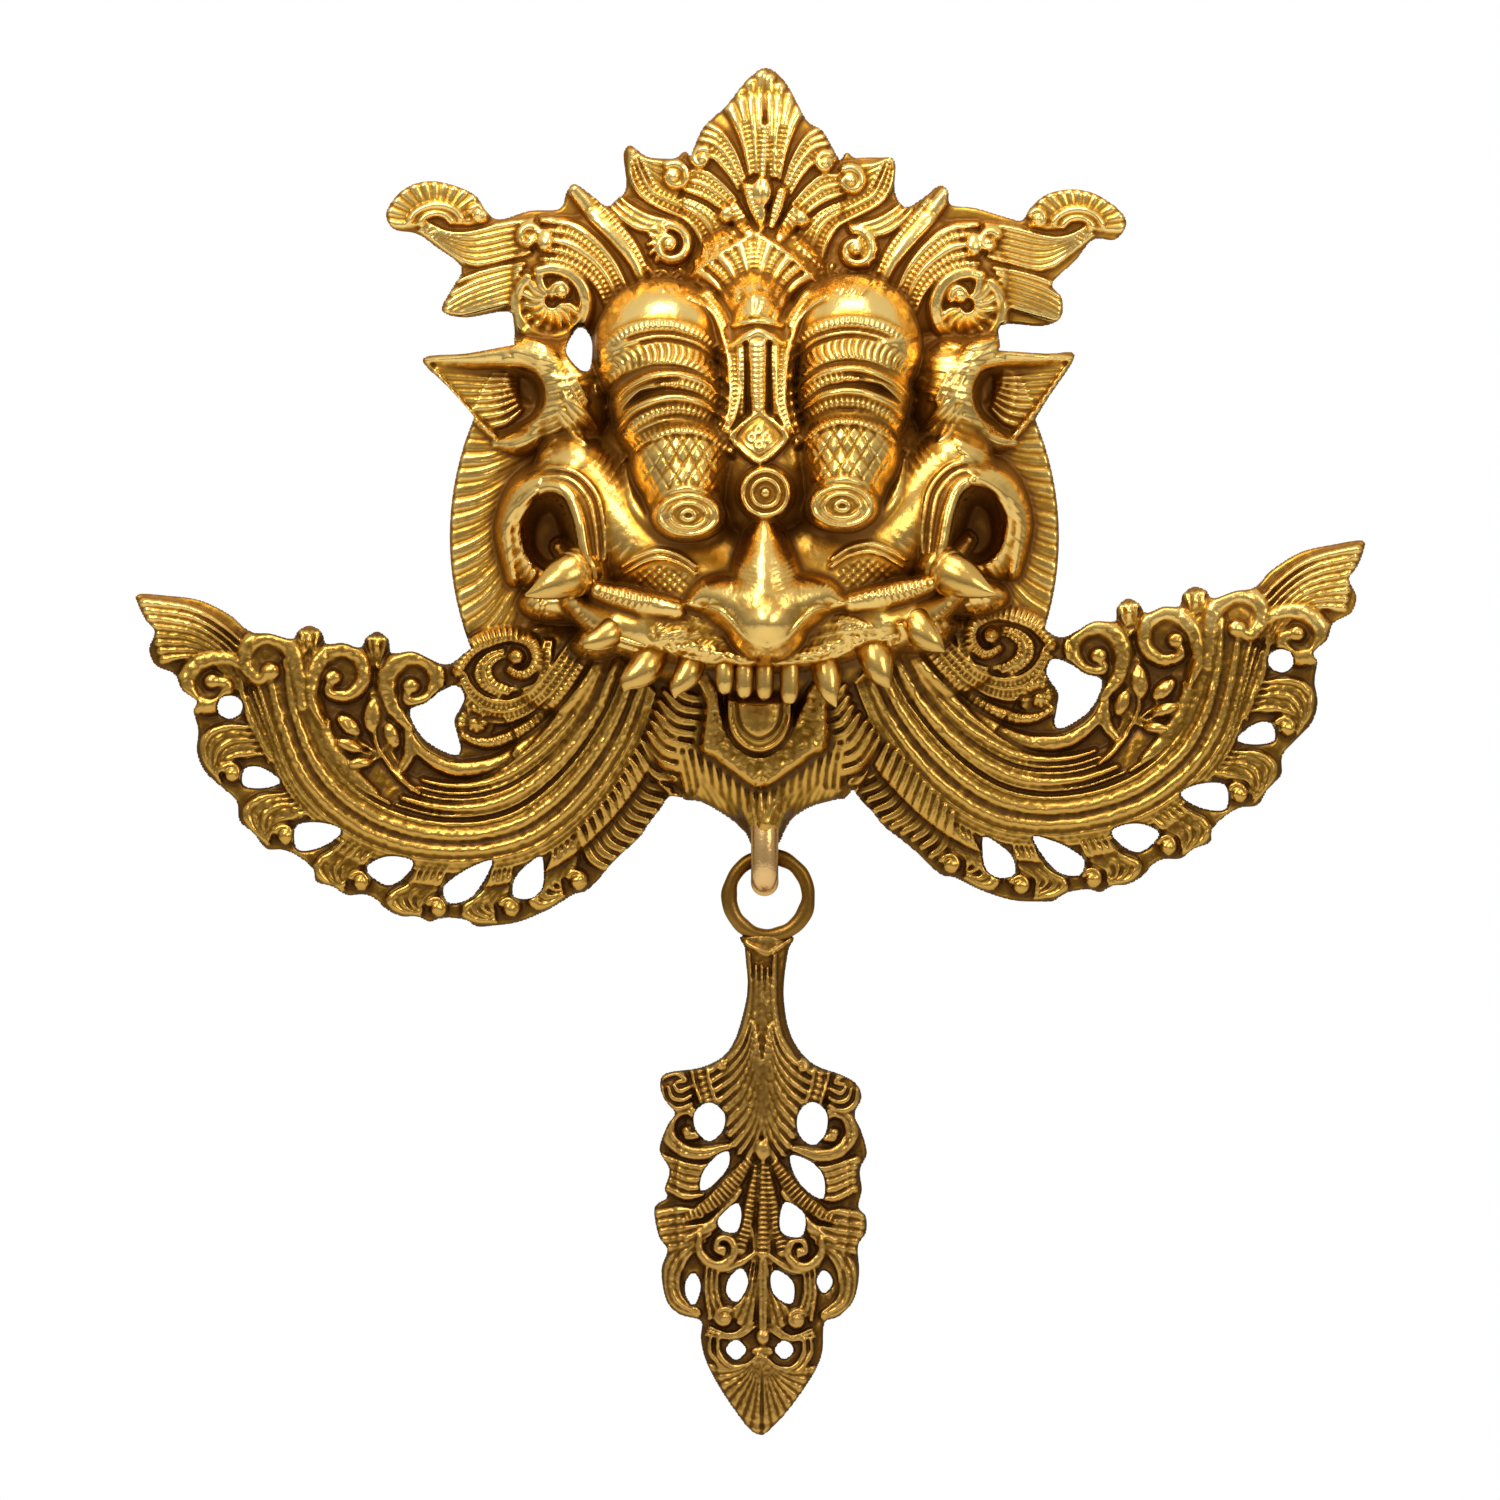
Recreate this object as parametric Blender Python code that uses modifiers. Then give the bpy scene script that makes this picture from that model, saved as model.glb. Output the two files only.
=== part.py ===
"""Kirtimukha mask: a lion face of glory in cast brass, made to hang on a wall.

Two castings: the mask, hollow behind the face and open at its flat back, and an openwork
pendant whose ring hangs in the hook under the chin. The face looks along -Y, the back lies
in the plane y = 0, and the origin is on the back of the crest, where the mask meets the wall.

The carving is drawn in millimetres seen from the front, as (x, z), and a height is the
distance in front of the back plane. Each casting is built from tubes, plates and balls,
fused on a fine grid, thinned to few faces and then cut flat and hollow behind.
"""

import math

import bmesh
import bpy
from mathutils import Matrix, Vector

# Driving dimensions, in metres.
MASK_WIDTH = 0.371  # from wing tip to wing tip
PLATE_THICKNESS = 0.0045  # crest, horns and wings
DISC_RADIUS = 0.0915  # round mane plate behind the face
DISC_THICKNESS = 0.0055
FACE_WALL = 0.0050  # brass left around the hollow behind the face
HOOK_RADIUS = 0.0041  # half the thickness of the hook's round bar
HOOK_TIP_RADIUS = 0.0022
RING_BAR_RADIUS = 0.0021
RING_INNER_RADIUS = 0.0100
LINK_GAP = 0.0010  # between the hook's bar and the ring that hangs on it
DROP_THICKNESS = 0.0042  # plate of the pendant
TUSK_LENGTH = 0.0160
TUSK_RADIUS = 0.0052
WING_LIFT = math.radians(5)  # the right wing is set this much higher than the left one

# How fine the fused grid is, and how many faces are kept.
MASK_GRAIN = 0.0011
PENDANT_GRAIN = 0.0007
MASK_FACES = 7000
PENDANT_FACES = 1900

# The drawing's unit: one millimetre at the drawn width of 371 mm.
MM = MASK_WIDTH / 371
BEHIND = 2.0  # how far the fused shapes reach behind the back plane before it is cut

LEFT, RIGHT = -1, 1


def smooth(points, steps=5, closed=False):
    """Points along a Catmull-Rom curve through the given ones."""
    count = len(points)
    found = []
    for i in range(count if closed else count - 1):
        if closed:
            four = [Vector(points[(i + k) % count]) for k in (-1, 0, 1, 2)]
        else:
            four = [Vector(points[min(max(i + k, 0), count - 1)]) for k in (-1, 0, 1, 2)]
        a, b, c, d = four
        for step in range(steps):
            t = step / steps
            found.append(
                0.5 * (2 * b + (c - a) * t + (2 * a - 5 * b + 4 * c - d) * t * t
                       + (3 * b - 3 * c + d - a) * t ** 3)
            )
    if not closed:
        found.append(Vector(points[-1]))
    return found


class Casting:
    """Collects the closed shapes of one casting, in the drawing's millimetres."""

    def __init__(self):
        self.mesh = bmesh.new()
        self.tubes = []

    def place(self, matrix):
        """Where the drawing's plane (x, height, z) goes: heights run along -Y."""
        return Matrix.Scale(MM, 4) @ matrix

    def ball(self, centre, sizes, height, tilt=0.0, turn=0.0, detail=12):
        """An ellipsoid at (x, z) and a height; sizes are half widths across, out and up."""
        matrix = (
            Matrix.Translation((centre[0], -height, centre[1]))
            @ Matrix.Rotation(turn, 4, "Y")
            @ Matrix.Rotation(tilt, 4, "X")
            @ Matrix.Diagonal((*sizes, 1))
        )
        bmesh.ops.create_uvsphere(
            self.mesh, u_segments=2 * detail, v_segments=detail, radius=1, matrix=self.place(matrix)
        )

    def disc(self, centre, radius, low, high, sides=48):
        """A flat round plate between two heights."""
        matrix = Matrix.Translation((centre[0], -(low + high) / 2, centre[1]))
        bmesh.ops.create_cone(
            self.mesh, cap_ends=True, segments=sides, radius1=radius, radius2=radius,
            depth=high - low, matrix=self.place(matrix @ Matrix.Rotation(math.pi / 2, 4, "X")),
        )

    def tube(self, points, radii, heights, steps=5):
        """A round bar through (x, z) points; radii and heights are a start, more, and an end."""
        rows = [(x, z, spread(heights, i, len(points)), spread(radii, i, len(points)))
                for i, (x, z) in enumerate(points)]
        self.bar([(x, -height, z, radius) for x, z, height, radius in rows], steps)

    def bar(self, rows, steps=5):
        """A round bar through points (x, y, z, radius) in space."""
        self.tubes.append(smooth(rows, steps))

    def scroll(self, centre, radius, start, turns, bar, height, hand=1):
        """A volute: a tapering bar that winds inwards from an angle, with an eye in its middle."""
        steps = max(8, round(abs(turns) * 14))
        path = []
        for i in range(steps + 1):
            share = i / steps
            angle = start + hand * share * turns * 2 * math.pi
            reach = (radius - bar) * (1 - share) ** 0.9 + 0.12 * radius * share
            path.append((centre[0] + reach * math.cos(angle), centre[1] + reach * math.sin(angle)))
        self.tube(path, (bar, 0.75 * bar), (height, height + 0.3 * bar), steps=1)
        eye = 0.34 * radius
        self.ball(centre, (eye, 0.8 * eye, eye), height + 0.3 * bar, detail=6)

    def fan(self, root, reach, first, last, count, bar, height, rise=1.0):
        """Flutes that spread from a root; angles in degrees, longest in the middle of the fan."""
        for i in range(count):
            share = i / max(count - 1, 1)
            angle = math.radians(first + (last - first) * share)
            length = reach * (1 - 0.22 * abs(2 * share - 1) ** 2)
            out = Vector((math.cos(angle), math.sin(angle))) * length
            path = [Vector(root) + out * 0.15, Vector(root) + out * 0.6, Vector(root) + out]
            self.tube([tuple(p) for p in path], (0.55 * bar, bar, 0.7 * bar),
                      (height, height + rise, height))

    def plate(self, outline, low, high, holes=()):
        """A flat plate with a smooth outline and smooth holes, between two heights."""
        curve = bpy.data.curves.new("plate", "CURVE")
        curve.dimensions = "2D"
        curve.fill_mode = "BOTH"
        curve.extrude = (high - low) / 2
        for line in (outline, *holes):
            points = smooth(line, 3, closed=True)
            spline = curve.splines.new("POLY")
            spline.points.add(len(points) - 1)
            for point, (x, z) in zip(spline.points, points):
                point.co = (x, z, 0, 1)
            spline.use_cyclic_u = True
        stand = Matrix.Translation((0, -(low + high) / 2, 0)) @ Matrix.Rotation(math.pi / 2, 4, "X")
        self.take(curve, self.place(stand))

    def take(self, curve, matrix):
        """Adds a curve's mesh to the casting, and removes the curve."""
        guide = bpy.data.objects.new("guide", curve)
        bpy.context.scene.collection.objects.link(guide)
        bpy.context.view_layer.update()
        graph = bpy.context.evaluated_depsgraph_get()
        mesh = bpy.data.meshes.new_from_object(guide.evaluated_get(graph))
        mesh.transform(matrix)
        self.mesh.from_mesh(mesh)
        bpy.data.meshes.remove(mesh)
        bpy.data.objects.remove(guide)
        bpy.data.curves.remove(curve)

    def pour(self, name, grain, faces):
        """Fuses every shape into one closed mesh and thins it to the number of faces."""
        if self.tubes:
            curve = bpy.data.curves.new("tubes", "CURVE")
            curve.dimensions = "3D"
            curve.bevel_depth = 1
            curve.bevel_resolution = 2
            curve.use_fill_caps = True
            for rows in self.tubes:
                spline = curve.splines.new("POLY")
                spline.points.add(len(rows) - 1)
                for point, (x, y, z, radius) in zip(spline.points, rows):
                    point.co = (x, y, z, 1)
                    point.radius = radius
            self.take(curve, self.place(Matrix()))
        bmesh.ops.remove_doubles(self.mesh, verts=self.mesh.verts, dist=1e-6)
        mesh = bpy.data.meshes.new(name)
        self.mesh.to_mesh(mesh)
        self.mesh.free()
        piece = bpy.data.objects.new(name, mesh)
        bpy.context.scene.collection.objects.link(piece)
        fuse = piece.modifiers.new("Fuse", "REMESH")
        fuse.mode = "VOXEL"
        fuse.voxel_size = grain
        bake(piece)
        sides = sum(len(face.vertices) - 2 for face in piece.data.polygons)
        thin = piece.modifiers.new("Thin", "DECIMATE")
        thin.ratio = min(1.0, faces / sides)
        bake(piece)
        return piece


def spread(values, index, count):
    """The value at one of count even places along a few given ones."""
    place = index / max(count - 1, 1) * (len(values) - 1)
    low = min(int(place), len(values) - 2)
    return values[low] + (values[low + 1] - values[low]) * (place - low)


def bake(piece):
    """Replaces an object's mesh by what its modifiers make of it."""
    bpy.context.view_layer.update()
    graph = bpy.context.evaluated_depsgraph_get()
    mesh = bpy.data.meshes.new_from_object(piece.evaluated_get(graph))
    piece.modifiers.clear()
    old = piece.data
    piece.data = mesh
    bpy.data.meshes.remove(old)
    mesh.name = piece.name


def boolean(piece, tool, operation):
    """Joins a tool to a piece or cuts it away, and removes the tool."""
    step = piece.modifiers.new("Tool", "BOOLEAN")
    step.operation = operation
    step.solver = "MANIFOLD"
    step.object = tool
    bake(piece)
    bpy.data.objects.remove(tool)


def in_metres(value):
    """A driving dimension in the drawing's millimetres."""
    return value / MM


def mirrored(points):
    """The same points on the other side of the face."""
    return [(-x, z) for x, z in points]


def sided(side, points):
    """Points of the left half, mirrored where the right half is made."""
    return list(points) if side == LEFT else mirrored(points)


# Wings

WING_OUTLINE = [
    (-189.3, -118.3), (-172, -119.2), (-158, -126), (-150, -130), (-139, -130), (-128, -133),
    (-117, -131), (-106, -135.5), (-98, -139.5), (-92, -139), (-82, -131), (-70, -129),
    (-48, -128), (-20, -150), (-20, -179), (-31, -183), (-38, -191.5), (-48, -201),
    (-60, -209), (-74, -216.5), (-88, -217.5), (-102, -216), (-118, -209.5), (-134, -203.5),
    (-145, -194.5), (-158, -186), (-162, -176), (-170, -170), (-171, -153), (-177, -143),
    (-185, -136), (-186, -126),
]
WING_HOLES = [
    [(-93, -146), (-90.5, -150), (-92.5, -156), (-92.5, -165.5), (-101, -163), (-107, -154),
     (-101, -150)],
    [(-161, -148.5), (-157.5, -152), (-161, -155.5), (-164.5, -152)],
    [(-157, -170), (-152, -170.5), (-145.5, -174.5), (-152, -176.5), (-157, -175)],
    [(-141.5, -188), (-134, -187), (-127.5, -189.3), (-134, -194.5), (-140.5, -195)],
    [(-120, -200.5), (-112, -197), (-106, -199), (-113.5, -205.5)],
    [(-82.5, -199), (-90, -201), (-96.5, -206), (-95, -211), (-87, -208)],
    [(-68, -197), (-66.5, -203), (-70, -209.5), (-75.5, -208.5), (-74, -201)],
]
OUTER_RIB = [(-151, -140), (-148, -156), (-142, -176), (-128, -190), (-110, -197.5), (-88, -199),
             (-70, -194), (-52, -180), (-36, -155)]
MIDDLE_RIB = [(-140, -134), (-139, -152), (-131, -170), (-118, -182), (-100, -187.5), (-82, -186.5),
              (-66, -177), (-50, -158), (-42, -142)]
INNER_RIB = [(-107, -160), (-101, -167), (-91, -170), (-80, -168.5), (-69, -161.5), (-58, -150),
             (-49, -136)]


def wing_place(side):
    """How a point of the left wing's drawing lies on the given side."""
    if side == LEFT:
        return lambda point: tuple(point)

    def place(point):
        x, z = -point[0], point[1] + 195
        return (x * math.cos(WING_LIFT) - z * math.sin(WING_LIFT) - 2,
                x * math.sin(WING_LIFT) + z * math.cos(WING_LIFT) - 195)

    return place


def between(first, second, share):
    """A line some way between two lines that have as many points."""
    return [(a[0] + (b[0] - a[0]) * share, a[1] + (b[1] - a[1]) * share)
            for a, b in zip(first, second)]


def add_wing(mask, side):
    """An openwork wing: a plate, long ribs, volutes on its upper edge and a fringe of leaves."""
    place = wing_place(side)
    low, high = -BEHIND, in_metres(PLATE_THICKNESS) - 1.2
    hand = 1 if side == LEFT else -1

    def lay(points):
        return [place(point) for point in points]

    def turned(angle):
        return angle if side == LEFT else math.pi - angle + WING_LIFT

    mask.plate(lay(WING_OUTLINE), low, high, [lay(hole) for hole in WING_HOLES])
    ribs = [between(OUTER_RIB, MIDDLE_RIB, share) for share in (0, 0.3, 0.62, 1)]
    for i, rib in enumerate(ribs):
        mask.tube(lay(rib), (1.9, 2.1, 1.7), (high, high + 1.4, high + 3), steps=4)
    inner = smooth(INNER_RIB, 2)[::2]
    middle = smooth(MIDDLE_RIB[2:], 1)
    mask.tube(lay(INNER_RIB), (2.6, 2.8, 2.0), (high, high + 1.8, high + 4), steps=4)
    for share in (0.35, 0.68):
        path = [((1 - share) * a[0] + share * b[0], (1 - share) * a[1] + share * b[1])
                for a, b in zip(inner, middle)]
        mask.tube(lay(path), (1.6, 2.0, 1.7), (high, high + 1.2, high + 3), steps=4)

    volutes = [
        ((-167, -144.5), 8.6, 100, 1.4, 1), ((-150, -139), 8, 200, 1.2, -1),
        ((-128.5, -143), 9, 150, 1.4, -1), ((-106, -146), 9.5, 150, 1.4, -1),
        ((-77, -138), 12.5, 190, 1.3, -1), ((-88, -156), 6.5, 60, 1.2, 1),
    ]
    for centre, radius, start, turns, way in volutes:
        mask.scroll(place(centre), radius, turned(math.radians(start)), turns, 1.9, high + 1,
                    way * hand)
    for centre in ((-137, -131), (-117, -133)):
        mask.fan(place(centre), 5, 50 if side == LEFT else 40, 140, 3, 1.3, high)
    sweep = [(-90, -144), (-82, -152), (-68, -153), (-57, -143)]
    mask.tube(lay(sweep), (2.2, 2.6, 1.8), (high + 1, high + 2.5, high + 3))
    for x, z, angle in ((-118, -155, 80), (-125, -161, 120), (-112, -162, 50), (-122, -168, 150)):
        mask.ball(place((x, z)), (1.7, 1.6, 4.2), high + 0.6, turn=hand * math.radians(90 - angle),
                  detail=6)
    mask.tube(lay([(-117, -158), (-117, -170), (-108, -179)]), (1.2, 1.2), (high, high))

    tip = [[(-189, -119), (-175, -121), (-162, -127), (-153, -141)],
           [(-187, -126), (-173, -126), (-160, -133), (-154, -146)],
           [(-184, -134), (-174, -131.5), (-163, -135), (-157, -142)]]
    for path in tip:
        mask.tube(lay(path), (1.2, 2.4, 2.0), (high - 0.6, high + 0.6, high + 1))

    fringe = [((-160.5, -172.5), (-154, -160)), ((-145.5, -191), (-141, -180)),
              ((-124.5, -204), (-127, -193)), ((-101, -212), (-105, -200)),
              ((-78, -212.5), (-80, -199)), ((-57.5, -204), (-60, -190))]
    for ball, root in fringe:
        mask.ball(place(ball), (3.4, 2.6, 3.4), high, detail=7)
        for k in range(3):
            share = (k + 1) / 3.2
            start = (root[0] - 2.5 * k, root[1] + 2.6 * k)
            bend = (ball[0] - 5 * share, ball[1] + 7.0 * share)
            end = (ball[0] - 6.5 * share - 1.5, ball[1] + 2.0 + 5.5 * share)
            mask.tube(lay([start, bend, end]), (1.4, 1.7, 1.2), (high + 0.4, high + 0.6, high - 0.5))
    for k in range(7):
        share = k / 6
        root = (-23 - 10 * share, -146 - 14 * share)
        end = (-27 - 25 * share, -176 - 25 * share)
        bend = ((root[0] + end[0]) / 2 - 3, (root[1] + end[1]) / 2 + 2)
        mask.tube(lay([root, bend, end]), (1.9, 1.8, 1.0), (high + 3.5, high + 1.5, high - 0.5))


# Crest and horns

FLAME_RIGHT = [(0, 40), (6, 35.5), (12, 24), (19, 18.5), (22, 11), (30, 0), (28, -22)]
FLAME_LEFT = [(-28, -22), (-30, 0), (-23, 12), (-20, 20), (-12, 28.5), (-6, 36)]
HORN_OUTLINE = [
    (-22, 12), (-30, 13), (-41.5, 16.5), (-42.5, 5), (-49, -1.5), (-57.5, 5), (-62, -2.5),
    (-80, -5.6), (-88, 2.6), (-100, 5.8), (-113, 0), (-112.5, -8), (-104.5, -10), (-91.5, -20),
    (-97.5, -33.5), (-77.5, -33.5), (-74.5, -44), (-58, -48), (-30, -40), (-10, -20),
]


def horn_place(side):
    """How a point of the left horn's drawing lies on the given side: the right one is shorter."""
    if side == LEFT:
        return lambda point: tuple(point)
    return lambda point: (-point[0] * 0.955, point[1] - 0.9)


def add_crest(mask):
    """The flame over the forehead, with its flutes, jewel and shoulders of volutes."""
    low, high = -BEHIND, in_metres(PLATE_THICKNESS)
    mask.plate(FLAME_RIGHT + FLAME_LEFT, low, high)
    mask.fan((-1, -2), 37, 38, 142, 11, 1.9, high + 0.8, rise=1.6)
    mask.ball((-1, 2), (3.2, 3.5, 4.4), high + 3, detail=8)
    mask.fan((-1, -5), 13, 10, 170, 7, 1.9, high + 3, rise=2)
    mask.ball((-4, -30), (5.5, 6, 6.5), 26, detail=8)
    mask.ball((-2, -26), (20, 15, 19), 7, detail=12)
    mask.fan((-3, -38), 27, 42, 138, 9, 2.1, 22, rise=3)


def add_horn(mask, side):
    """One side of the crest: shoulder volutes, hooked shell bands and the fan at the horn's end."""
    low, high = -BEHIND, in_metres(PLATE_THICKNESS)
    hand = 1 if side == LEFT else -1
    place = horn_place(side)

    def lay(points):
        return [place(point) for point in points]

    def turned(angle):
        return math.radians(angle if side == LEFT else 180 - angle)

    mask.plate(lay(HORN_OUTLINE), low, high)
    for centre, radius, start, turns, way in (
        ((-29, 7), 7, 200, 1.3, -1), ((-29, -13.5), 8, 130, 1.4, -1),
        ((-68, -12.5), 7, 300, 1.1, -1), ((-64, -31), 12.5, 90, 1.4, 1),
    ):
        mask.scroll(place(centre), radius, turned(start), turns, 2.0, high + 2.4, way * hand)
    mask.tube(lay([(-57.5, 2), (-50, -6), (-43, -15), (-37, -23)]), (2.0, 3.2, 3.0, 2.4),
              (high, high + 2, high + 5))
    mask.tube(lay([(-41, 14), (-37, 5), (-33, 0), (-25, -3), (-18, -12)]), (1.4, 2.2, 2.2, 1.8),
              (high, high + 2, high + 4))
    mask.tube(lay([(-46, -1), (-40, -6), (-35, -7), (-24, -7)]), (1.4, 2.4, 2.4, 1.6),
              (high, high + 2, high + 4))
    for k in range(4):
        rise = 4.0 * k
        mask.tube(lay([(-70 + 1.2 * k, -8 - rise), (-60, -9.5 - 0.9 * rise), (-50, -17 - 0.6 * rise),
                       (-45 + 0.6 * rise / 4, -26 - 0.3 * rise)]),
                  (1.6, 2.5, 2.2, 1.6), (high + 2, high + 4.5, high + 6))
        mask.tube(lay([(-104, -8 - 0.3 * rise), (-94, -11 - 0.7 * rise), (-84, -9 - rise),
                       (-72, -6.5 - 1.05 * rise)]), (1.2, 1.7, 1.6), (high, high + 1.4, high + 2.4))
    mask.fan(place((-99, -8)), 13.5, 12, 168, 8, 1.6, high, rise=0.8)
    mask.ball(place((-87, -4.5)), (2.8, 2.4, 2.8), high + 0.6, detail=6)
    mask.fan(place((-80, -24)), 17, 195 if side == LEFT else -15, 232 if side == LEFT else -52, 4, 1.7,
             high, rise=0.8)
    mask.ball(place((-65, -31)), (9.5, 4, 9.5), high - 1.5, detail=10)


# Face

def add_disc(mask):
    """The round mane plate behind the face, with slanting locks around its rim."""
    centre = (-3.5, -101)
    radius, high = in_metres(DISC_RADIUS), in_metres(DISC_THICKNESS)
    rim = [math.radians(angle) for angle in range(-48, 229, 12)]
    mask.plate([(centre[0] + radius * math.cos(angle), centre[1] + radius * math.sin(angle))
                for angle in rim], -BEHIND, high - 1.5)
    for i in range(44):
        angle = math.radians(90 + 360 * (i + 0.5) / 44)
        if math.sin(angle) < -0.45 or math.sin(angle) > 0.62:
            continue
        lean = 0.10 * (1 if math.cos(angle) < 0 else -1)
        path = [(centre[0] + radius * share * math.cos(angle - lean * k),
                 centre[1] + radius * share * math.sin(angle - lean * k))
                for k, share in enumerate((0.78, 0.89, 0.985))]
        mask.tube(path, (2.2, 2.4, 1.2), (high, high, high - 2), steps=3)


def add_ear(mask, side):
    """A pointed ear turned outwards, with a rolled rim around its hollow."""
    shift = 0 if side == LEFT else 10

    def lay(points):
        return sided(side, [(x - shift * (60 + x) / 43, z) for x, z in points])

    mask.plate(lay([(-103, -47.3), (-80, -44), (-62, -42), (-54, -56), (-62, -76), (-80, -73),
                    (-93, -59)]), -BEHIND, 6)
    rim = [(-102, -48), (-86, -47.5), (-71, -47), (-64.5, -56), (-69, -69), (-79, -71.5)]
    mask.tube(lay(rim), (1.2, 2.2, 3.4, 3.8, 3.4, 2.2), (5, 9, 14, 20, 15, 8))
    mask.tube(lay([(-102, -48), (-92, -60), (-80, -71.5)]), (1.2, 1.6, 1.6), (5, 6, 8))
    for k in range(4):
        mask.tube(lay([(-93 + 3 * k, -50.5 - 5 * k), (-82, -53 - 3.5 * k), (-70, -56 - 1.5 * k)]),
                  (1.1, 1.6, 1.4), (6.5, 7, 8))
    mask.ball(lay([(-60, -60)])[0], (9, 15, 14), 9, detail=10)
    mask.ball(lay([(-56, -66)])[0], (8, 18, 9), 9, detail=10)


def add_eye(mask, side):
    """A bulging eye: the smooth dome, the stack of lid folds, the ball and the stepped pupil."""
    top = Vector((-30.5, -44)) if side == LEFT else Vector((26, -45))
    ball = Vector((-24.5, -79)) if side == LEFT else Vector((24, -76.5))
    pupil = Vector((-23.5, -94.5)) if side == LEFT else Vector((22, -92.5))
    mask.ball(top, (20.5, 40, 21), 8, detail=14)
    mask.ball((top + ball) / 2 + Vector((0, 2)), (18.5, 36, 22), 16, detail=14)
    mask.ball(ball, (15.5, 30, 17), 30, detail=14)
    mask.ball((ball + pupil) / 2, (12, 20, 13), 43, detail=12)
    mask.ball(pupil, (8.4, 6, 7.4), 58, tilt=math.radians(35), detail=10)
    mask.ball(pupil, (5.4, 6, 4.6), 61, tilt=math.radians(35), detail=8)
    folds = 7
    for k in range(folds):
        share = k / (folds - 1)
        centre = top.lerp(ball, share)
        half = 20.5 - 6.0 * share
        crown = -38.5 - 31 * share + (0 if side == LEFT else -1)
        deep = 12 + 10 * share
        front = 47.5 + 13 * math.sin(share * 1.5)
        path = []
        for step in range(9):
            angle = math.pi * step / 8
            path.append((centre[0] - half * math.cos(angle), crown - 15 + 15 * math.sin(angle) ** 0.8,
                         deep + (front - deep) * math.sin(angle) ** 0.7))
        mask.bar([(x, -height, z, 1.6 + 0.5 * (k % 2)) for x, z, height in path], steps=2)
    cup = [(ball[0] - 17, ball[1] + 3), (ball[0] - 15.5, ball[1] - 10), (pupil[0] - 8, pupil[1] - 5),
           (pupil[0] + 1, pupil[1] - 8), (pupil[0] + 9, pupil[1] - 3), (ball[0] + 15, ball[1] - 7)]
    mask.tube(cup, (1.8, 2.2, 2.2, 1.8), (34, 37, 42, 37, 34))


def add_brow_ornament(mask):
    """The ribbed bar between the eyes with its cap, lozenge and ring boss."""
    mask.tube([(-4, -38), (-3.5, -50), (-3, -64)], (3.4, 3.0, 2.8), (30, 44, 48))
    for side in (LEFT, RIGHT):
        mask.tube([(-4 + 4.5 * side, -42), (-3 + 4.2 * side, -63)], (1.5, 1.5), (34, 47))
    mask.tube([(-10, -39.5), (-4, -38.5), (2.5, -39.5)], (2.2, 2.6, 2.2), (31, 35, 31))
    mask.ball((-2, -52), (11, 30, 26), 16, detail=12)
    lozenge = [(-1, -64.5), (5.8, -72), (-1, -79.5), (-8, -72)]
    mask.plate(lozenge, 40, 52)
    mask.disc((0, -88), 6.6, 40, 52, sides=24)
    mask.ball((0, -88), (3.4, 3, 3.4), 52, detail=8)


def add_nose(mask):
    """The hooked nose, with wide nostrils rolled up at their ends."""
    mask.ball((-0.5, -100), (9, 24, 26), 32, detail=12)
    mask.bar([(-0.5, -46, -95, 4.0), (-0.5, -53, -104, 5.0), (-0.5, -60, -116, 6.4),
              (0, -62, -127, 6.8), (0, -55, -134, 4.6)])
    for side in (LEFT, RIGHT):
        mask.ball((-0.5 + 15 * side, -118.5), (9.5, 10, 7.6), 46, turn=-0.25 * side, detail=10)
        mask.tube([(2 * side, -135), (10 * side, -130), (17 * side, -124.5), (25 * side, -122)],
                  (2.6, 2.2, 2.2, 1.6), (54, 52, 50, 44))
        mask.ball((9 * side, -123), (9, 10, 8), 45, detail=8)


def add_cheek(mask, side):
    """The bulging cheek, the open volute beside it and the tusk that comes out of it."""
    shift = 0 if side == LEFT else 2.5

    def lay(points):
        return [(-x * side, z + shift) for x, z in points]

    mask.ball(lay([(-50, -90)])[0], (19, 26, 18), 16, detail=12)
    mask.ball(lay([(-37, -106)])[0], (22, 24, 19), 22, detail=12)
    mask.tube(lay([(-75, -112), (-76.5, -98), (-70, -88), (-62, -88), (-55.5, -97), (-53, -110),
                   (-49, -120)]), (2.4, 3.4, 3.8, 3.8, 3.2, 2.8, 2.4), (14, 20, 26, 31, 36, 38, 36))
    mask.tube(lay([(-78, -104), (-76, -90), (-67, -82.5), (-57, -84.5), (-50, -94), (-49, -108)]),
              (1.8, 2.2, 2.4, 2.2), (12, 20, 26, 34, 36))
    mask.tube(lay([(-49, -119.5), (-40, -121.5), (-29, -124)]), (2.6, 2.8, 2.4), (40, 46, 49))
    mask.tube(lay([(-52, -124), (-40, -128), (-30, -132), (-14, -134)]), (3, 4.4, 4.4, 3.4),
              (32, 40, 42, 44))
    mask.tube(lay([(-41, -112), (-32, -107.8), (-21, -113)]), (1.4, 1.8, 1.4), (42, 46, 47))
    tusk_reach = in_metres(TUSK_LENGTH)
    tusk_bar = in_metres(TUSK_RADIUS)
    root = lay([(-56, -113)])[0]
    mask.tube([root, (root[0] + side * 0.5 * tusk_reach, root[1] - 3.2),
               (root[0] + side * tusk_reach, root[1] - 4.2)],
              (tusk_bar, 0.75 * tusk_bar, 0.16 * tusk_bar), (34, 38, 43))
    mask.ball(lay([(-62, -116)])[0], (14, 14, 7), 10, detail=8)


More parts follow.
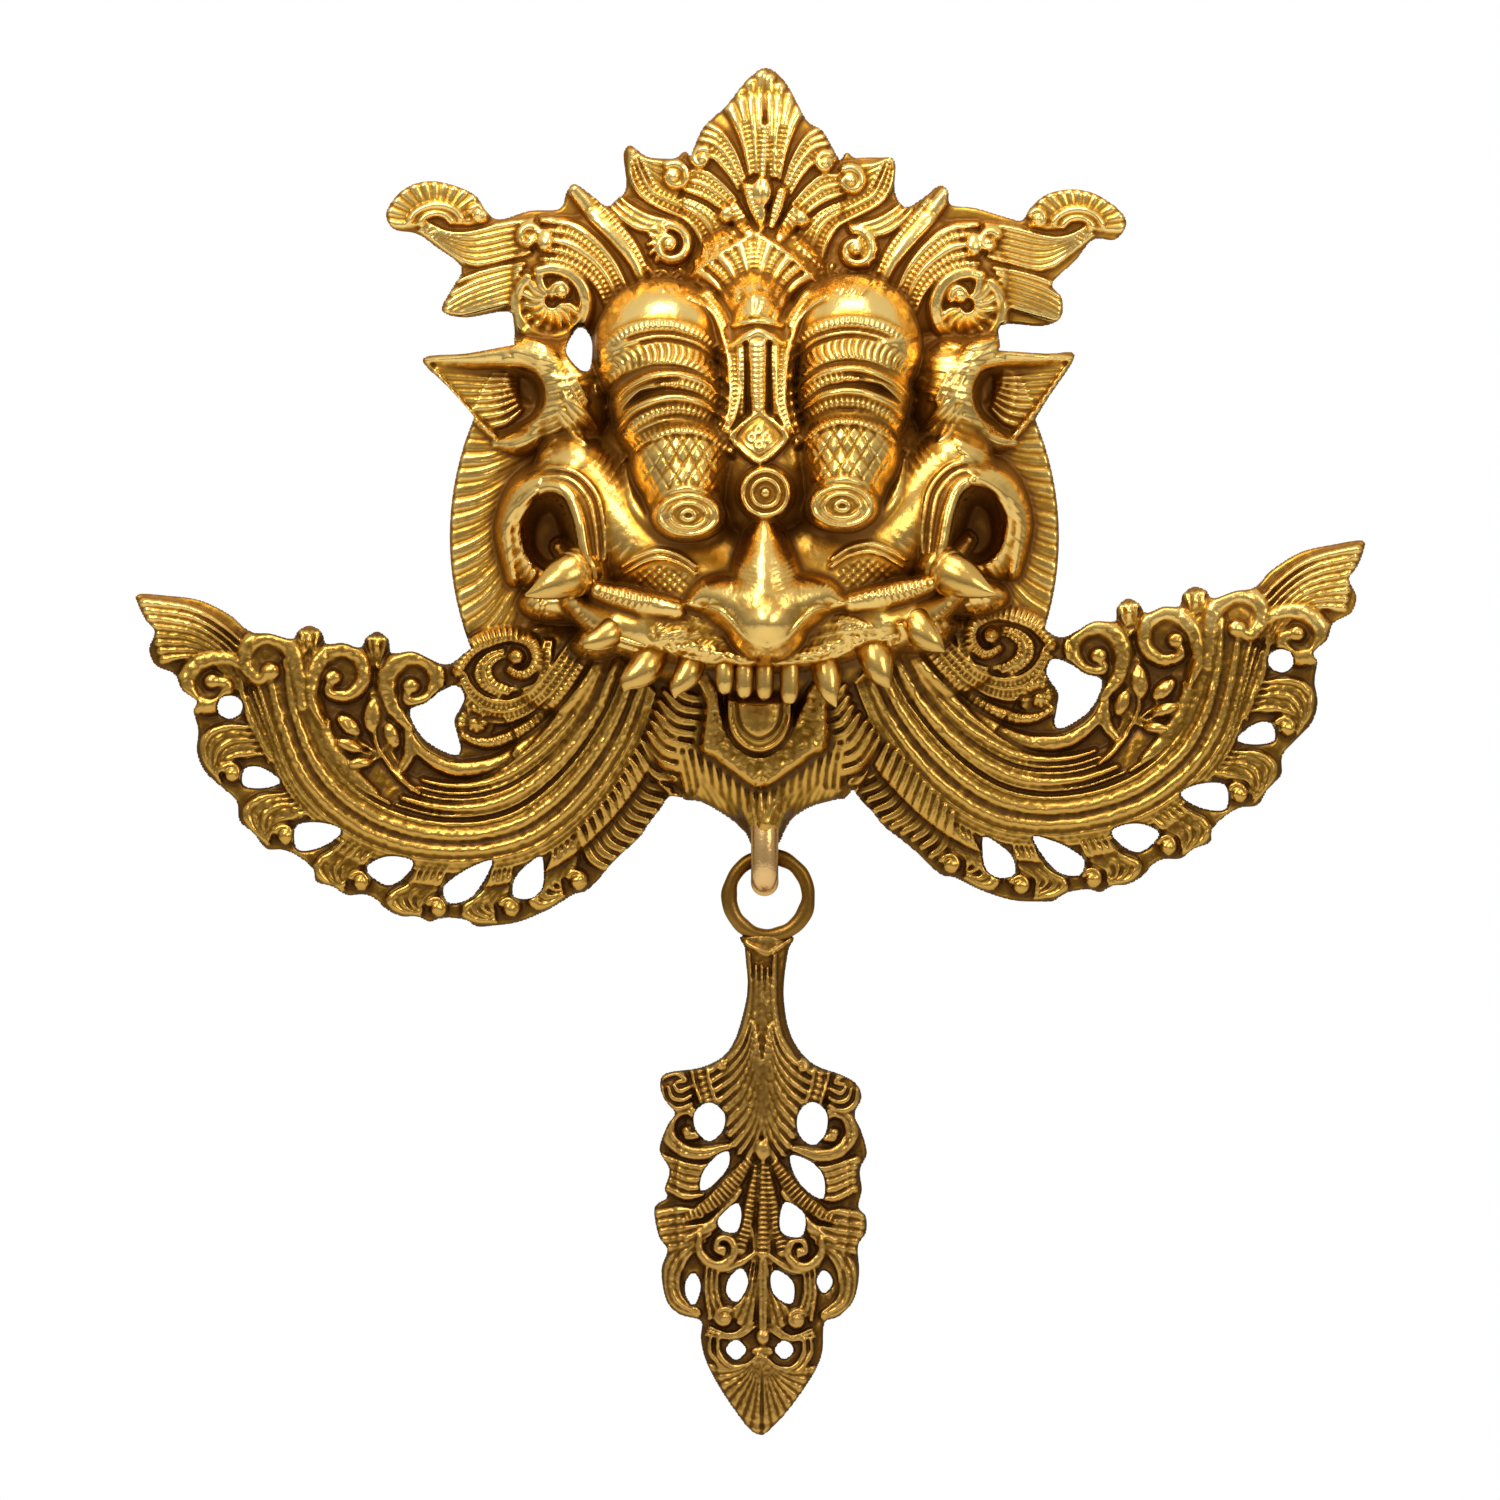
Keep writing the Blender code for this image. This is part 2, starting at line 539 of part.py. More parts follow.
def add_mouth(mask):
    """Jaws, fangs, front teeth and the tongue over the pointed beard."""
    mask.ball((-1, -128), (44, 34, 14), 6, detail=12)
    for x, z, length, bar in ((-35, -133, 13, 4.4), (-22, -134, 13.5, 3.6), (32, -132, 13, 4.4),
                              (17, -134, 16.5, 3.8)):
        lean = -0.45 if x < 0 else 0.3
        mask.tube([(x, z), (x + lean * 0.4 * length, z - 0.6 * length), (x + lean * length, z - length)],
                  (bar, 0.8 * bar, 0.2 * bar), (39, 39, 40))
    lip = [(-27, -133), (-13, -136.5), (0, -138), (13, -136), (25, -132)]
    mask.tube(lip, (3.6, 4.6, 3.6), (37, 42, 37))
    for x in (-12, -6, 0, 6):
        mask.tube([(x, -134), (x, -141), (x - 0.5, -147.5)], (2.6, 2.6, 1.7), (38, 41, 42.5))
    for x in (-45, 43):
        mask.ball((x, -131.5), (8, 8, 3.8), 34, turn=0.3 if x > 0 else -0.3, detail=8)
    mask.tube([(-2, -146), (-2, -156), (-2, -163)], (7.4, 7.6, 6.4), (20, 27, 30))
    mask.tube([(-30, -150), (-20, -161), (-2, -176), (18, -163), (27, -151)], (3.4, 3.2, 3.4),
              (14, 24, 29, 24, 14))
    mask.plate([(-34, -140), (30, -140), (30, -165), (22, -180), (10, -184), (5, -190),
                (-0.5, -194), (-6, -190), (-10, -186), (-21, -180.5), (-28, -178), (-30, -160)],
               -BEHIND, 9)
    mask.ball((-1, -160), (25, 25, 17), 3, detail=12)
    for k in range(9):
        spreadout = (k - 4) / 4
        mask.tube([(-1 + 17 * spreadout, -166 - 8 * (1 - abs(spreadout))),
                   (-1 + 14 * spreadout, -180 - 5 * (1 - abs(spreadout)))], (1.8, 1.0), (19, 10))


def face_hollow():
    """The room behind the face: open at the back, a wall's thickness inside the outer skin."""
    wall = in_metres(FACE_WALL)
    tool = Casting()
    tool.ball((-1, -90), (54 - wall, 39 - wall, 54 - wall), 0, detail=12)
    for side in (LEFT, RIGHT):
        tool.ball((-1 + 27 * side, -62), (19 - wall, 48 - wall, 28 - wall), 0, detail=12)
    return tool.pour("hollow", 0.002, 700)


def back_cutter():
    """A slab behind the back plane, which leaves the back flat."""
    half = 0.6 * MASK_WIDTH
    depth = 60 * MM
    mesh = bmesh.new()
    bmesh.ops.create_cube(mesh, size=1, matrix=Matrix.Translation((0, depth / 2, -0.4 * MASK_WIDTH))
                          @ Matrix.Diagonal((2 * half, depth, 2.4 * half, 1)))
    data = bpy.data.meshes.new("slab")
    mesh.to_mesh(data)
    mesh.free()
    slab = bpy.data.objects.new("slab", data)
    bpy.context.scene.collection.objects.link(slab)
    return slab


# Hook and pendant

HOOK_X = -0.4
HOOK_FRONT = 16.8  # height of the hook's front strand
HOOK_BACK = 3.4


def hook_low():
    """Height above the drawing's zero of the hook's lowest bar, at its middle."""
    return -208.0 + in_metres(HOOK_RADIUS)


def add_hook(mask):
    """The hook under the chin: it comes down in front of the ring and goes up behind it."""
    bar, tip = in_metres(HOOK_RADIUS), in_metres(HOOK_TIP_RADIUS)
    low = hook_low()
    middle = (HOOK_FRONT + HOOK_BACK) / 2
    mask.bar([
        (HOOK_X, -9, -180, bar), (HOOK_X, -HOOK_FRONT + 2, low + 18, bar),
        (HOOK_X, -HOOK_FRONT, low + 9, bar), (HOOK_X, -HOOK_FRONT + 1.6, low + 2.4, bar),
        (HOOK_X, -middle, low, bar), (HOOK_X, -HOOK_BACK - 0.8, low + 2.8, 0.7 * bar),
        (HOOK_X, -HOOK_BACK, low + 8, tip), (HOOK_X, -HOOK_BACK, low + 16, tip),
    ], steps=4)


def ring_centre():
    """The ring hangs with its bar on the hook's lowest point, a gap above it."""
    inside_top = hook_low() + in_metres(HOOK_RADIUS) + in_metres(LINK_GAP)
    return 0.8, inside_top - in_metres(RING_INNER_RADIUS)


DROP_OUTLINE = [
    (7, -226), (5.4, -236), (8, -252), (16, -260), (27, -263.5), (28.5, -269), (25, -275),
    (29.5, -286), (27.5, -295), (30, -304), (28, -314), (28, -327), (18, -337), (15, -351),
    (5, -365.5), (-1, -371), (-8, -365.5), (-18, -349), (-20, -337), (-30, -329), (-30, -316),
    (-33, -303), (-29.5, -295), (-32, -286), (-27, -275), (-31.5, -266), (-20, -260),
    (-9.5, -252), (-5.6, -236), (-5.6, -226),
]
DROP_HOLES = [
    [(-17, -271), (-12.8, -276), (-17, -282), (-21, -276)],
    [(14, -270.5), (18, -276.5), (14, -283.5), (10, -277)],
    [(-11.5, -286), (-12.5, -292), (-19, -297), (-18.5, -291)],
    [(8, -287), (9, -294), (17, -299), (16.5, -292)],
    [(-10.5, -301.5), (-8, -305.5), (-11, -308), (-13.5, -305)],
    [(7.5, -302), (11, -306), (8, -310), (4.5, -306)],
    [(-22, -324), (-20.3, -327), (-22, -330.3), (-23.7, -327)],
    [(17.5, -321.5), (19.5, -324.5), (17.5, -328), (15.5, -324.5)],
    [(-9, -322), (-7, -325.5), (-9, -329), (-11, -325.5)],
    [(5, -323), (7.2, -326.5), (5, -330), (2.8, -326.5)],
    [(-9, -342.2), (-6.2, -345), (-9, -347.8), (-11.8, -345)],
    [(5.5, -342.4), (8.1, -345), (5.5, -347.6), (2.9, -345)],
]


def add_drop(pendant):
    """The openwork leaf of the pendant: plate, stem, volutes, leaves and the palmette below."""
    middle = (HOOK_FRONT - in_metres(HOOK_RADIUS) + HOOK_BACK + in_metres(HOOK_TIP_RADIUS)) / 2
    low = middle - in_metres(DROP_THICKNESS) / 2
    high = middle + in_metres(DROP_THICKNESS) / 2
    pendant.plate(DROP_OUTLINE, low, high - 1, DROP_HOLES)
    for k in range(3):
        pendant.tube([(-3.4 + 4 * k, -229), (-2.4 + 2.4 * k, -240), (-3.5 + 3 * k, -252),
                      (-11 + 11 * k, -262)], (1.7, 1.6, 1.7, 1.6), (high - 1, high, high))
    x, z = ring_centre()
    bar = in_metres(RING_BAR_RADIUS)
    ring = in_metres(RING_INNER_RADIUS) + bar
    turns = 40
    pendant.bar([(x + ring * math.sin(2 * math.pi * i / turns), -middle,
                  z + ring * math.cos(2 * math.pi * i / turns), bar) for i in range(turns + 1)],
                steps=1)
    pendant.ball((x - 0.5, z - ring - 1.5), (6.4, 2.6, 4.0), middle, detail=8)
    for side in (LEFT, RIGHT):
        hand = 1 if side == LEFT else -1

        def lay(points):
            return [(-1 + (px + 1) * -side, pz) for px, pz in points]

        def turned(angle):
            return math.radians(angle if side == LEFT else 180 - angle)

        pendant.tube(lay([(-12, -259), (-18, -265), (-26, -264.5)]), (2.2, 2.4, 2.6), (high, high))
        pendant.ball(lay([(-28, -264.5)])[0], (3, 2.6, 3.6), high - 0.5, detail=7)
        for centre, radius, start, turns, way in (
            ((-22, -280), 6.8, 60, 1.3, 1), ((-13.5, -316), 6.4, 60, 1.3, 1),
        ):
            pendant.scroll(lay([centre])[0], radius, turned(start), turns, 1.6, high - 0.4, way * hand)
        pendant.tube(lay([(-4.5, -289), (-12, -297), (-24, -303)]), (1.8, 2.2, 1.6), (high, high))
        pendant.tube(lay([(-4.5, -294), (-7, -303), (-9, -314)]), (1.4, 1.6, 1.4), (high, high))
        for k in range(4):
            pendant.tube(lay([(-19 - 0.6 * k, -303 - 3.5 * k), (-26, -306 - 3.8 * k),
                              (-29.5 + 0.8 * k, -304.5 - 6 * k)]), (1.4, 1.6, 1.0),
                         (high - 0.2, high, high - 1))
        pendant.tube(lay([(-20, -287), (-26, -290), (-29.5, -286)]), (1.4, 1.6, 1.0), (high, high - 1))
        pendant.tube(lay([(-22, -296), (-26, -297), (-29, -293)]), (1.2, 1.4, 0.9), (high, high - 1))
        pendant.ball(lay([(-12, -335.5)])[0], (3.2, 2.4, 3.2), high - 0.4, detail=6)
        pendant.tube(lay([(-15, -322), (-16, -331), (-24, -334)]), (1.5, 1.7, 1.4), (high - 0.4, high))
    pendant.tube([(-1, -262), (-1, -290), (-1, -318), (-1, -338)], (3.2, 2.2, 1.6, 1.8),
                 (high, high + 0.6, high))
    pendant.ball((-1, -283), (3.6, 3, 6), high, detail=8)
    pendant.fan((-1, -344), 21, -90 - 38, -90 + 38, 5, 1.9, high - 1, rise=0.8)


# Materials and assembly

def brass(name, colour, roughness):
    """A cast brass with the given colour."""
    material = bpy.data.materials.new(name)
    material.use_nodes = True
    shader = material.node_tree.nodes["Principled BSDF"]
    shader.inputs["Base Color"].default_value = (*colour, 1)
    shader.inputs["Metallic"].default_value = 1.0
    shader.inputs["Roughness"].default_value = roughness
    return material


def finish(piece, material, collection):
    """Shades a piece and moves it into the model's collection."""
    for owner in list(piece.users_collection):
        owner.objects.unlink(piece)
    collection.objects.link(piece)
    piece.data.materials.clear()
    piece.data.materials.append(material)
    piece.data.shade_smooth()
    piece.data.set_sharp_from_angle(angle=math.radians(50))


def make_mask():
    """The mask: one casting from the crest to the hook."""
    mask = Casting()
    add_crest(mask)
    add_disc(mask)
    for side in (LEFT, RIGHT):
        add_horn(mask, side)
        add_wing(mask, side)
        add_ear(mask, side)
        add_eye(mask, side)
        add_cheek(mask, side)
    face = ((-1, -92), (56, 40, 56))
    mask.ball(face[0], face[1], 2, detail=20)
    mask.ball((-1, -112), (34, 24, 19), 28, detail=14)
    add_brow_ornament(mask)
    add_nose(mask)
    add_mouth(mask)
    add_hook(mask)
    piece = mask.pour("mask", MASK_GRAIN, MASK_FACES)
    boolean(piece, back_cutter(), "DIFFERENCE")
    boolean(piece, face_hollow(), "DIFFERENCE")
    return piece


def make_pendant():
    """The pendant: ring and openwork drop in one casting."""
    pendant = Casting()
    add_drop(pendant)
    return pendant.pour("pendant", PENDANT_GRAIN, PENDANT_FACES)


def main():
    """Clears the scene and builds both castings."""
    for item in list(bpy.data.objects):
        bpy.data.objects.remove(item)
    model = bpy.data.collections.new("kirtimukha_mask")
    bpy.context.scene.collection.children.link(model)
    finish(make_mask(), brass("polished brass", (0.78, 0.52, 0.18), 0.3), model)
    finish(make_pendant(), brass("aged brass", (0.62, 0.42, 0.15), 0.36), model)


main()
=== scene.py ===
"""Looks of the kirtimukha mask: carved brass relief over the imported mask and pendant.

The carving is drawn in millimetres as seen from the front, as (x, z). A height is the
distance in front of the back plane, which lies at y = 0. A Sheet holds the drawing on a fine
grid: its form is the broad modelling, and its relief is what the carver added on top.
"""

import math

import bpy
import numpy as np
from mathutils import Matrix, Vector, geometry


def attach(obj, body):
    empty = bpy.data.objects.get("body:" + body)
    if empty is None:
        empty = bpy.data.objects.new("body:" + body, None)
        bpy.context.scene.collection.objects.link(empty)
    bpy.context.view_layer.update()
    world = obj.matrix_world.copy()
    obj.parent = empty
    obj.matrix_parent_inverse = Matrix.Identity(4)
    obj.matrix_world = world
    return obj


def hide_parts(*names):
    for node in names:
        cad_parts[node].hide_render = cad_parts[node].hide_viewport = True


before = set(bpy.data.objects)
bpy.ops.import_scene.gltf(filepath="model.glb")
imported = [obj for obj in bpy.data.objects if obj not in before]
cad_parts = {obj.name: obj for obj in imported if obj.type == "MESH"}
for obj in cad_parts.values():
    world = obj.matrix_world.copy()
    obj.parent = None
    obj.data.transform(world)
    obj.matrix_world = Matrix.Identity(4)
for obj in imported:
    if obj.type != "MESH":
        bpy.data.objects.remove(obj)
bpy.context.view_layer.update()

MM = 0.001
PITCH = 0.4  # of the mask's grid
PENDANT_PITCH = 0.32
PLATE = 4.5  # height of the crest and the wings
DISC_PLATE = 5.0
EDGE_ROUND = 1.3  # radius of the worn outer edge
WING_LIFT = math.radians(5)  # of the right wing
WING_PIVOT_Z = -195
DISC_CENTRE = (-3.5, -101)
DISC_RADIUS = 91.5
LOCKS = 122  # of the mane, all round
BEARD_LOCKS, LAPPET_LOCKS = 19, 17
CREST_COVERS = 0.72  # sine of the angle above which the crest hides the locks
CHIN_PLATE = 7
LEFT, RIGHT = -1, 1
TAU = 2 * math.pi
OUTSIDE = -6.0  # where no outline is near

CENTRE_X = -1  # the face's middle
FACE_HALF = 60  # half the width of the pieces that hold the face
CREST_FOOT = -44.0
EYES_FOOT = -98.0
LEFT_WING_TOP, RIGHT_WING_TOP = -128.0, -118.0
SEAM = 0.01  # pieces share the nodes between them

WEAR = ((1.2, 0.03), (3.5, 0.05))  # reach and depth of the worn surface's unevenness
CREASES = ((0.7, 1.7), (2.0, 0.42), (6.0, 0.05))  # reach and weight of what counts as hollow
ROOMS = ((-1, -90, 49, 34, 49), (-28, -62, 14, 43, 23), (26, -62, 14, 43, 23))  # x, z, width, depth, height
HOLLOW_WALL = 3.0
REAR_STEP, CURVED_STEP = 12, 3  # grid steps between the nodes of a flat and a hollow back

HOOK_X, HOOK_LOW, HOOK_BAR, HOOK_TIP = -0.4, -203.9, 4.1, 2.2
HOOK_FRONT, HOOK_BACK = 16.8, 3.4
RING_X, RING_HEIGHT, RING_BAR, RING_INNER = 0.8, 9.15, 2.1, 10.0
LINK_GAP = 1.0
DROP_DEPTH = 2.6  # of the drop's plate, in front of its back


def smooth(points, steps=6, closed=False):
    """Points along a Catmull-Rom curve through the given ones."""
    p = np.asarray(points, float)
    count = len(p)
    if closed:
        ends = [np.roll(p, k, axis=0) for k in (1, 0, -1, -2)]
    else:
        padded = np.vstack([p[:1], p, p[-1:]])
        ends = [padded[k:k + count - 1] for k in range(4)]
    a, b, c, d = ends
    found = []
    for step in range(steps):
        t = step / steps
        found.append(0.5 * (2 * b + (c - a) * t + (2 * a - 5 * b + 4 * c - d) * t * t
                            + (3 * b - 3 * c + d - a) * t ** 3))
    line = np.stack(found, axis=1).reshape(-1, p.shape[1])
    return line if closed else np.vstack([line, p[-1:]])


def resampled(points, count=10):
    """Evenly placed points along a smooth line."""
    line = smooth(points, 6)
    lengths = np.hypot(*np.diff(line, axis=0).T)
    reached = np.concatenate([[0], np.cumsum(lengths)])
    places = np.linspace(0, reached[-1], count)
    return np.stack([np.interp(places, reached, line[:, k]) for k in (0, 1)], axis=1)


def spread(values, share):
    """The value at a share of the way along a few evenly placed ones."""
    values = np.atleast_1d(np.asarray(values, float))
    if len(values) == 1:
        return np.full_like(np.asarray(share, float), values[0])
    return np.interp(share, np.linspace(0, 1, len(values)), values)


def heading(degrees):
    """The unit vector that points at an angle."""
    angle = math.radians(degrees)
    return np.array([math.cos(angle), math.sin(angle)])


def polar(centre, reach, angle):
    """The point at a distance and an angle from a centre."""
    return centre[0] + reach * math.cos(angle), centre[1] + reach * math.sin(angle)


def arc(centre, rx, rz, first=0.0, last=TAU, count=16):
    """Points along an ellipse, between two angles."""
    return [(centre[0] + rx * math.cos(a),
            centre[1] + rz * math.sin(a)) for a in np.linspace(first, last, count)]


def net(x, z, mesh, lean=1.0):
    """A crossed net: 0 in the middle of each cell and 0.5 on its lines."""
    return np.maximum(np.abs(((x + lean * z) / mesh) % 1 - 0.5), np.abs(((x - lean * z) / mesh) % 1 - 0.5))


def mirrored(side, shift, lift=0.0, scale=1.0):
    """Where a point of a left half's drawing lies on the given side."""
    if side == LEFT:
        return tuple
    return lambda point: (shift - scale * point[0], point[1] + lift)


def blurred(field, cells):
    """A field after two passes of a box blur, which is close to a round one."""
    reach = max(1, int(round(cells)))
    for _ in range(2):
        for axis in (0, 1):
            padded = np.concatenate(
                [np.repeat(field.take([0], axis), reach + 1, axis), field,
                 np.repeat(field.take([-1], axis), reach, axis)], axis)
            total = np.cumsum(padded, axis)
            count = field.shape[axis]
            high = total.take(range(2 * reach + 1, 2 * reach + 1 + count), axis)
            low = total.take(range(0, count), axis)
            field = (high - low) / (2 * reach + 1)
    return field


def beads(pitch, depth=0.5):
    """Marks: a row of small pillows along a stroke."""
    return lambda along, across, wide: -depth * (1 - np.abs(np.sin(math.pi * along / pitch))) ** 1.6


def hatch(pitch, depth=0.4, slant=0.0, inner=1.1):
    """Marks: chiselled cuts across a stroke, slanting by a share of its width."""
    def cut(along, across, wide):
        phase = along / pitch + slant * across
        wave = 0.5 + 0.5 * np.cos(TAU * phase)
        return -1.5 * depth * wave ** 1.8 * (np.abs(across) < inner)
    return cut


def crescents(pitch, depth=0.9, bow=0.5, inner=0.86):
    """Marks: bowed cuts across a wide stroke."""
    def cut(along, across, wide):
        wave = 0.5 + 0.5 * np.cos(TAU * (along / pitch + bow * across * across))
        return -depth * wave ** 2.5 * (np.abs(across) < inner)
    return cut


def ladder(pitch, upto, depth=0.8, inner=0.7):
    """Marks: cuts across the first part of a stroke only."""
    rungs = hatch(pitch, depth, inner=inner)
    return lambda along, across, wide: rungs(along, across, wide) * (along < upto)


def flutes(count, depth=0.5):
    """Marks: grooves that run along a stroke."""
    return lambda along, across, wide: -depth * (0.5 + 0.5 * np.cos(TAU * count * (across + 1) / 2)) ** 2


def rim(depth=0.5, where=0.62, width=0.16):
    """Marks: a groove on both sides, which leaves a raised border."""
    return lambda along, across, wide: -depth * np.exp(-((np.abs(across) - where) / width) ** 2)


def midrib(depth=0.5, width=0.16):
    """Marks: one groove down the middle."""
    return lambda along, across, wide: -depth * np.exp(-(across / width) ** 2)


CUTS = hatch(1.5, 0.7, inner=0.8)
SHALLOW_CUTS = hatch(1.5, 0.6, inner=0.8)


class Sheet:
    """A drawing in relief on a grid of (x, z)."""

    def __init__(self, x0, x1, z0, z1, pitch):
        self.pitch = pitch
        self.x0, self.z0 = x0, z0
        xs = x0 + pitch * np.arange(int(round((x1 - x0) / pitch)) + 1)
        zs = z0 + pitch * np.arange(int(round((z1 - z0) / pitch)) + 1)
        self.x, self.z = np.meshgrid(xs, zs)
        self.form = np.zeros_like(self.x)
        self.relief = np.zeros_like(self.x)
        self.inside = np.full_like(self.x, OUTSIDE)
        self.place = tuple

    def window(self, low, high, pad):
        """The slices of the grid that hold a box."""
        rows, columns = self.x.shape
        i0 = max(0, int((low[0] - pad - self.x0) / self.pitch))
        i1 = min(columns, int((high[0] + pad - self.x0) / self.pitch) + 2)
        j0 = max(0, int((low[1] - pad - self.z0) / self.pitch))
        j1 = min(rows, int((high[1] + pad - self.z0) / self.pitch) + 2)
        return slice(j0, max(j0, j1)), slice(i0, max(i0, i1))

    def laid(self, points):
        """Points of a half's own drawing where they lie on the sheet."""
        return np.array([self.place(tuple(p)) for p in points], float)

    def depth_inside(self, outline, pad=3.0, steps=4):
        """How far inside a smooth closed outline each node of its window lies."""
        line = smooth(self.laid(outline), steps, closed=True)
        win = self.window(line.min(0), line.max(0), pad)
        x, z = self.x[win], self.z[win]
        nearest = np.full(x.shape, 1e9)
        odd = np.zeros(x.shape, bool)
        for a, b in zip(line, np.roll(line, -1, axis=0)):
            run = b - a
            length = max(run @ run, 1e-12)
            t = np.clip(((x - a[0]) * run[0] + (z - a[1]) * run[1]) / length, 0, 1)
            away = (x - a[0] - t * run[0]) ** 2 + (z - a[1] - t * run[1]) ** 2
            np.minimum(nearest, away, out=nearest)
            if a[1] != b[1]:
                spans = (a[1] > z) != (b[1] > z)
                odd ^= spans & (x < a[0] + (z - a[1]) * run[0] / run[1])
        return win, np.where(odd, 1, -1) * np.sqrt(nearest)

    def plate(self, outline, height):
        """A flat plate that belongs to the silhouette."""
        win, depth = self.depth_inside(outline)
        self.inside[win] = np.maximum(self.inside[win], depth)
        self.form[win] = np.where(depth > -1.5, np.maximum(self.form[win], height), self.form[win])

    def cut(self, outline):
        """A hole that goes right through."""
        win, depth = self.depth_inside(outline, steps=5)
        self.inside[win] = np.minimum(self.inside[win], -depth)

    def press(self, outline, height, slope, choose):
        """Brings the form to a level inside an outline, with sloping walls."""
        win, depth = self.depth_inside(outline)
        share = np.clip(depth / slope, 0, 1)
        share = share * share * (3 - 2 * share)
        self.form[win] += (choose(self.form[win], height) - self.form[win]) * share
        self.relief[win] *= 1 - share

    def sink(self, outline, height, slope=1.6):
        """Presses the form down to a floor inside an outline."""
        self.press(outline, height, slope, np.minimum)

    def lift(self, outline, height, slope=1.6):
        """Raises the form to a level inside an outline."""
        self.press(outline, height, slope, np.maximum)

    def rough(self, outline, depth, reach=0.8):
        """Punched, uneven ground inside an outline."""
        win, inside = self.depth_inside(outline)
        dots = blurred(np.random.default_rng(3).standard_normal(inside.shape), 0.5 * reach / self.pitch)
        self.relief[win] += depth * dots / dots.std() * np.clip(inside / 2, 0, 1)

    def cover(self, win, lift, soft):
        """Raises the form to a new shape, which hides the carving it covers."""
        before = self.form[win]
        after = soft_max(before, lift, soft)
        self.form[win] = after
        self.relief[win] *= 1 - np.clip((after - before - 0.5) / 1.5, 0, 1)

    def oval(self, centre, rx, rz, turn, reach):
        """The nodes near an oval, and how far out each one lies: 1 is on its edge."""
        cx, cz = self.place(centre)
        win = self.window((cx, cz), (cx, cz), reach)
        dx, dz = self.x[win] - cx, self.z[win] - cz
        u = (dx * math.cos(turn) + dz * math.sin(turn)) / rx
        v = (-dx * math.sin(turn) + dz * math.cos(turn)) / rz
        return win, np.sqrt(u * u + v * v)

    def dome(self, centre, rx, rz, top, depth, soft=3.0, turn=0.0, square=2.0):
        """A bulge of the form, blended into what is there; square makes its sides steeper."""
        win, q = self.oval(centre, rx, rz, turn, 1.25 * max(rx, rz))
        lift = top - depth + depth * np.clip(1 - q ** square, 0, 1) ** (1 / square)
        self.cover(win, lift - 60 * np.clip(q - 1, 0, None), soft)

    def trace(self, points, width, steps=6):
        """For the nodes near a line: place along it, across it (-1 to 1), width and share."""
        line = smooth(points, steps)
        runs = np.diff(line, axis=0)
        lengths = np.hypot(runs[:, 0], runs[:, 1])
        keep = lengths > 1e-6
        starts, runs, lengths = line[:-1][keep], runs[keep], lengths[keep]
        reached = np.concatenate([[0], np.cumsum(lengths)])
        total = max(reached[-1], 1e-6)
        wides = np.maximum(spread(width, reached / total), 0.15)
        widest = wides.max()
        win = self.window(line.min(0), line.max(0), widest + self.pitch)
        x, z = self.x[win], self.z[win]
        best = np.full(x.shape, 9.0)
        along = np.zeros(x.shape)
        side = np.ones(x.shape)
        wide = np.ones(x.shape)
        for k, (start, run, length) in enumerate(zip(starts, runs, lengths)):
            end = start + run
            sub = self.window(np.minimum(start, end), np.maximum(start, end), widest + self.pitch)
            sub = (slice(sub[0].start - win[0].start, sub[0].stop - win[0].start),
                   slice(sub[1].start - win[1].start, sub[1].stop - win[1].start))
            sx, sz = x[sub] - start[0], z[sub] - start[1]
            if not sx.size:
                continue
            t = np.clip((sx * run[0] + sz * run[1]) / (length * length), 0, 1)
            w = wides[k] + t * (wides[k + 1] - wides[k])
            q = np.hypot(sx - t * run[0], sz - t * run[1]) / w
            closer = q < best[sub]
            best[sub] = np.where(closer, q, best[sub])
            along[sub] = np.where(closer, reached[k] + t * length, along[sub])
            side[sub] = np.where(closer, np.sign(sx * run[1] - sz * run[0]), side[sub])
            wide[sub] = np.where(closer, w, wide[sub])
        return win, best, along, side, wide, total

    def stroke(self, points, width, rise, level=0.0, marks=None, power=0.5, steps=6, laid=True, bed=False):
        """A raised band along a line; width and rise are given at even places along it.

        It keeps the higher of itself and the relief that is there, or wipes that with bed.
        """
        points = self.laid(points) if laid else np.asarray(points, float)
        win, q, along, side, wide, total = self.trace(points, width, steps)
        body = np.clip(1 - q * q, 0, 1) ** power
        lift = spread(level, along / total) + spread(rise, along / total) * body
        if marks is not None:
            lift = lift + marks(along, side * q, wide) * np.clip(4 * (1 - q), 0, 1)
        if not bed:
            lift = np.maximum(self.relief[win], lift)
        self.relief[win] = np.where(q < 1, lift, self.relief[win])

    def ridge(self, points, width, top, depth, soft=2.0):
        """A rounded bar of the form, with heights along it, blended into what is there."""
        win, q, along, _, _, total = self.trace(self.laid(points), width)
        lift = spread(top, along / total) - depth * (1 - np.sqrt(np.clip(1 - q * q, 0, 1)))
        self.cover(win, np.where(q < 1, lift, -50.0), soft)

    def groove(self, points, width, depth):
        """A cut along a line."""
        win, q, along, _, _, total = self.trace(self.laid(points), width)
        self.relief[win] -= spread(depth, along / total) * np.clip(1 - q * q, 0, 1)

    def ball(self, centre, rx, rz, rise, level=0.0, turn=0.0, power=0.5):
        """A raised bead or boss."""
        win, q = self.oval(centre, rx, rz, turn, max(rx, rz) + 1)
        lift = level + rise * np.clip(1 - q * q, 0, 1) ** power
        self.relief[win] = np.where(q < 1, np.maximum(self.relief[win], lift), self.relief[win])

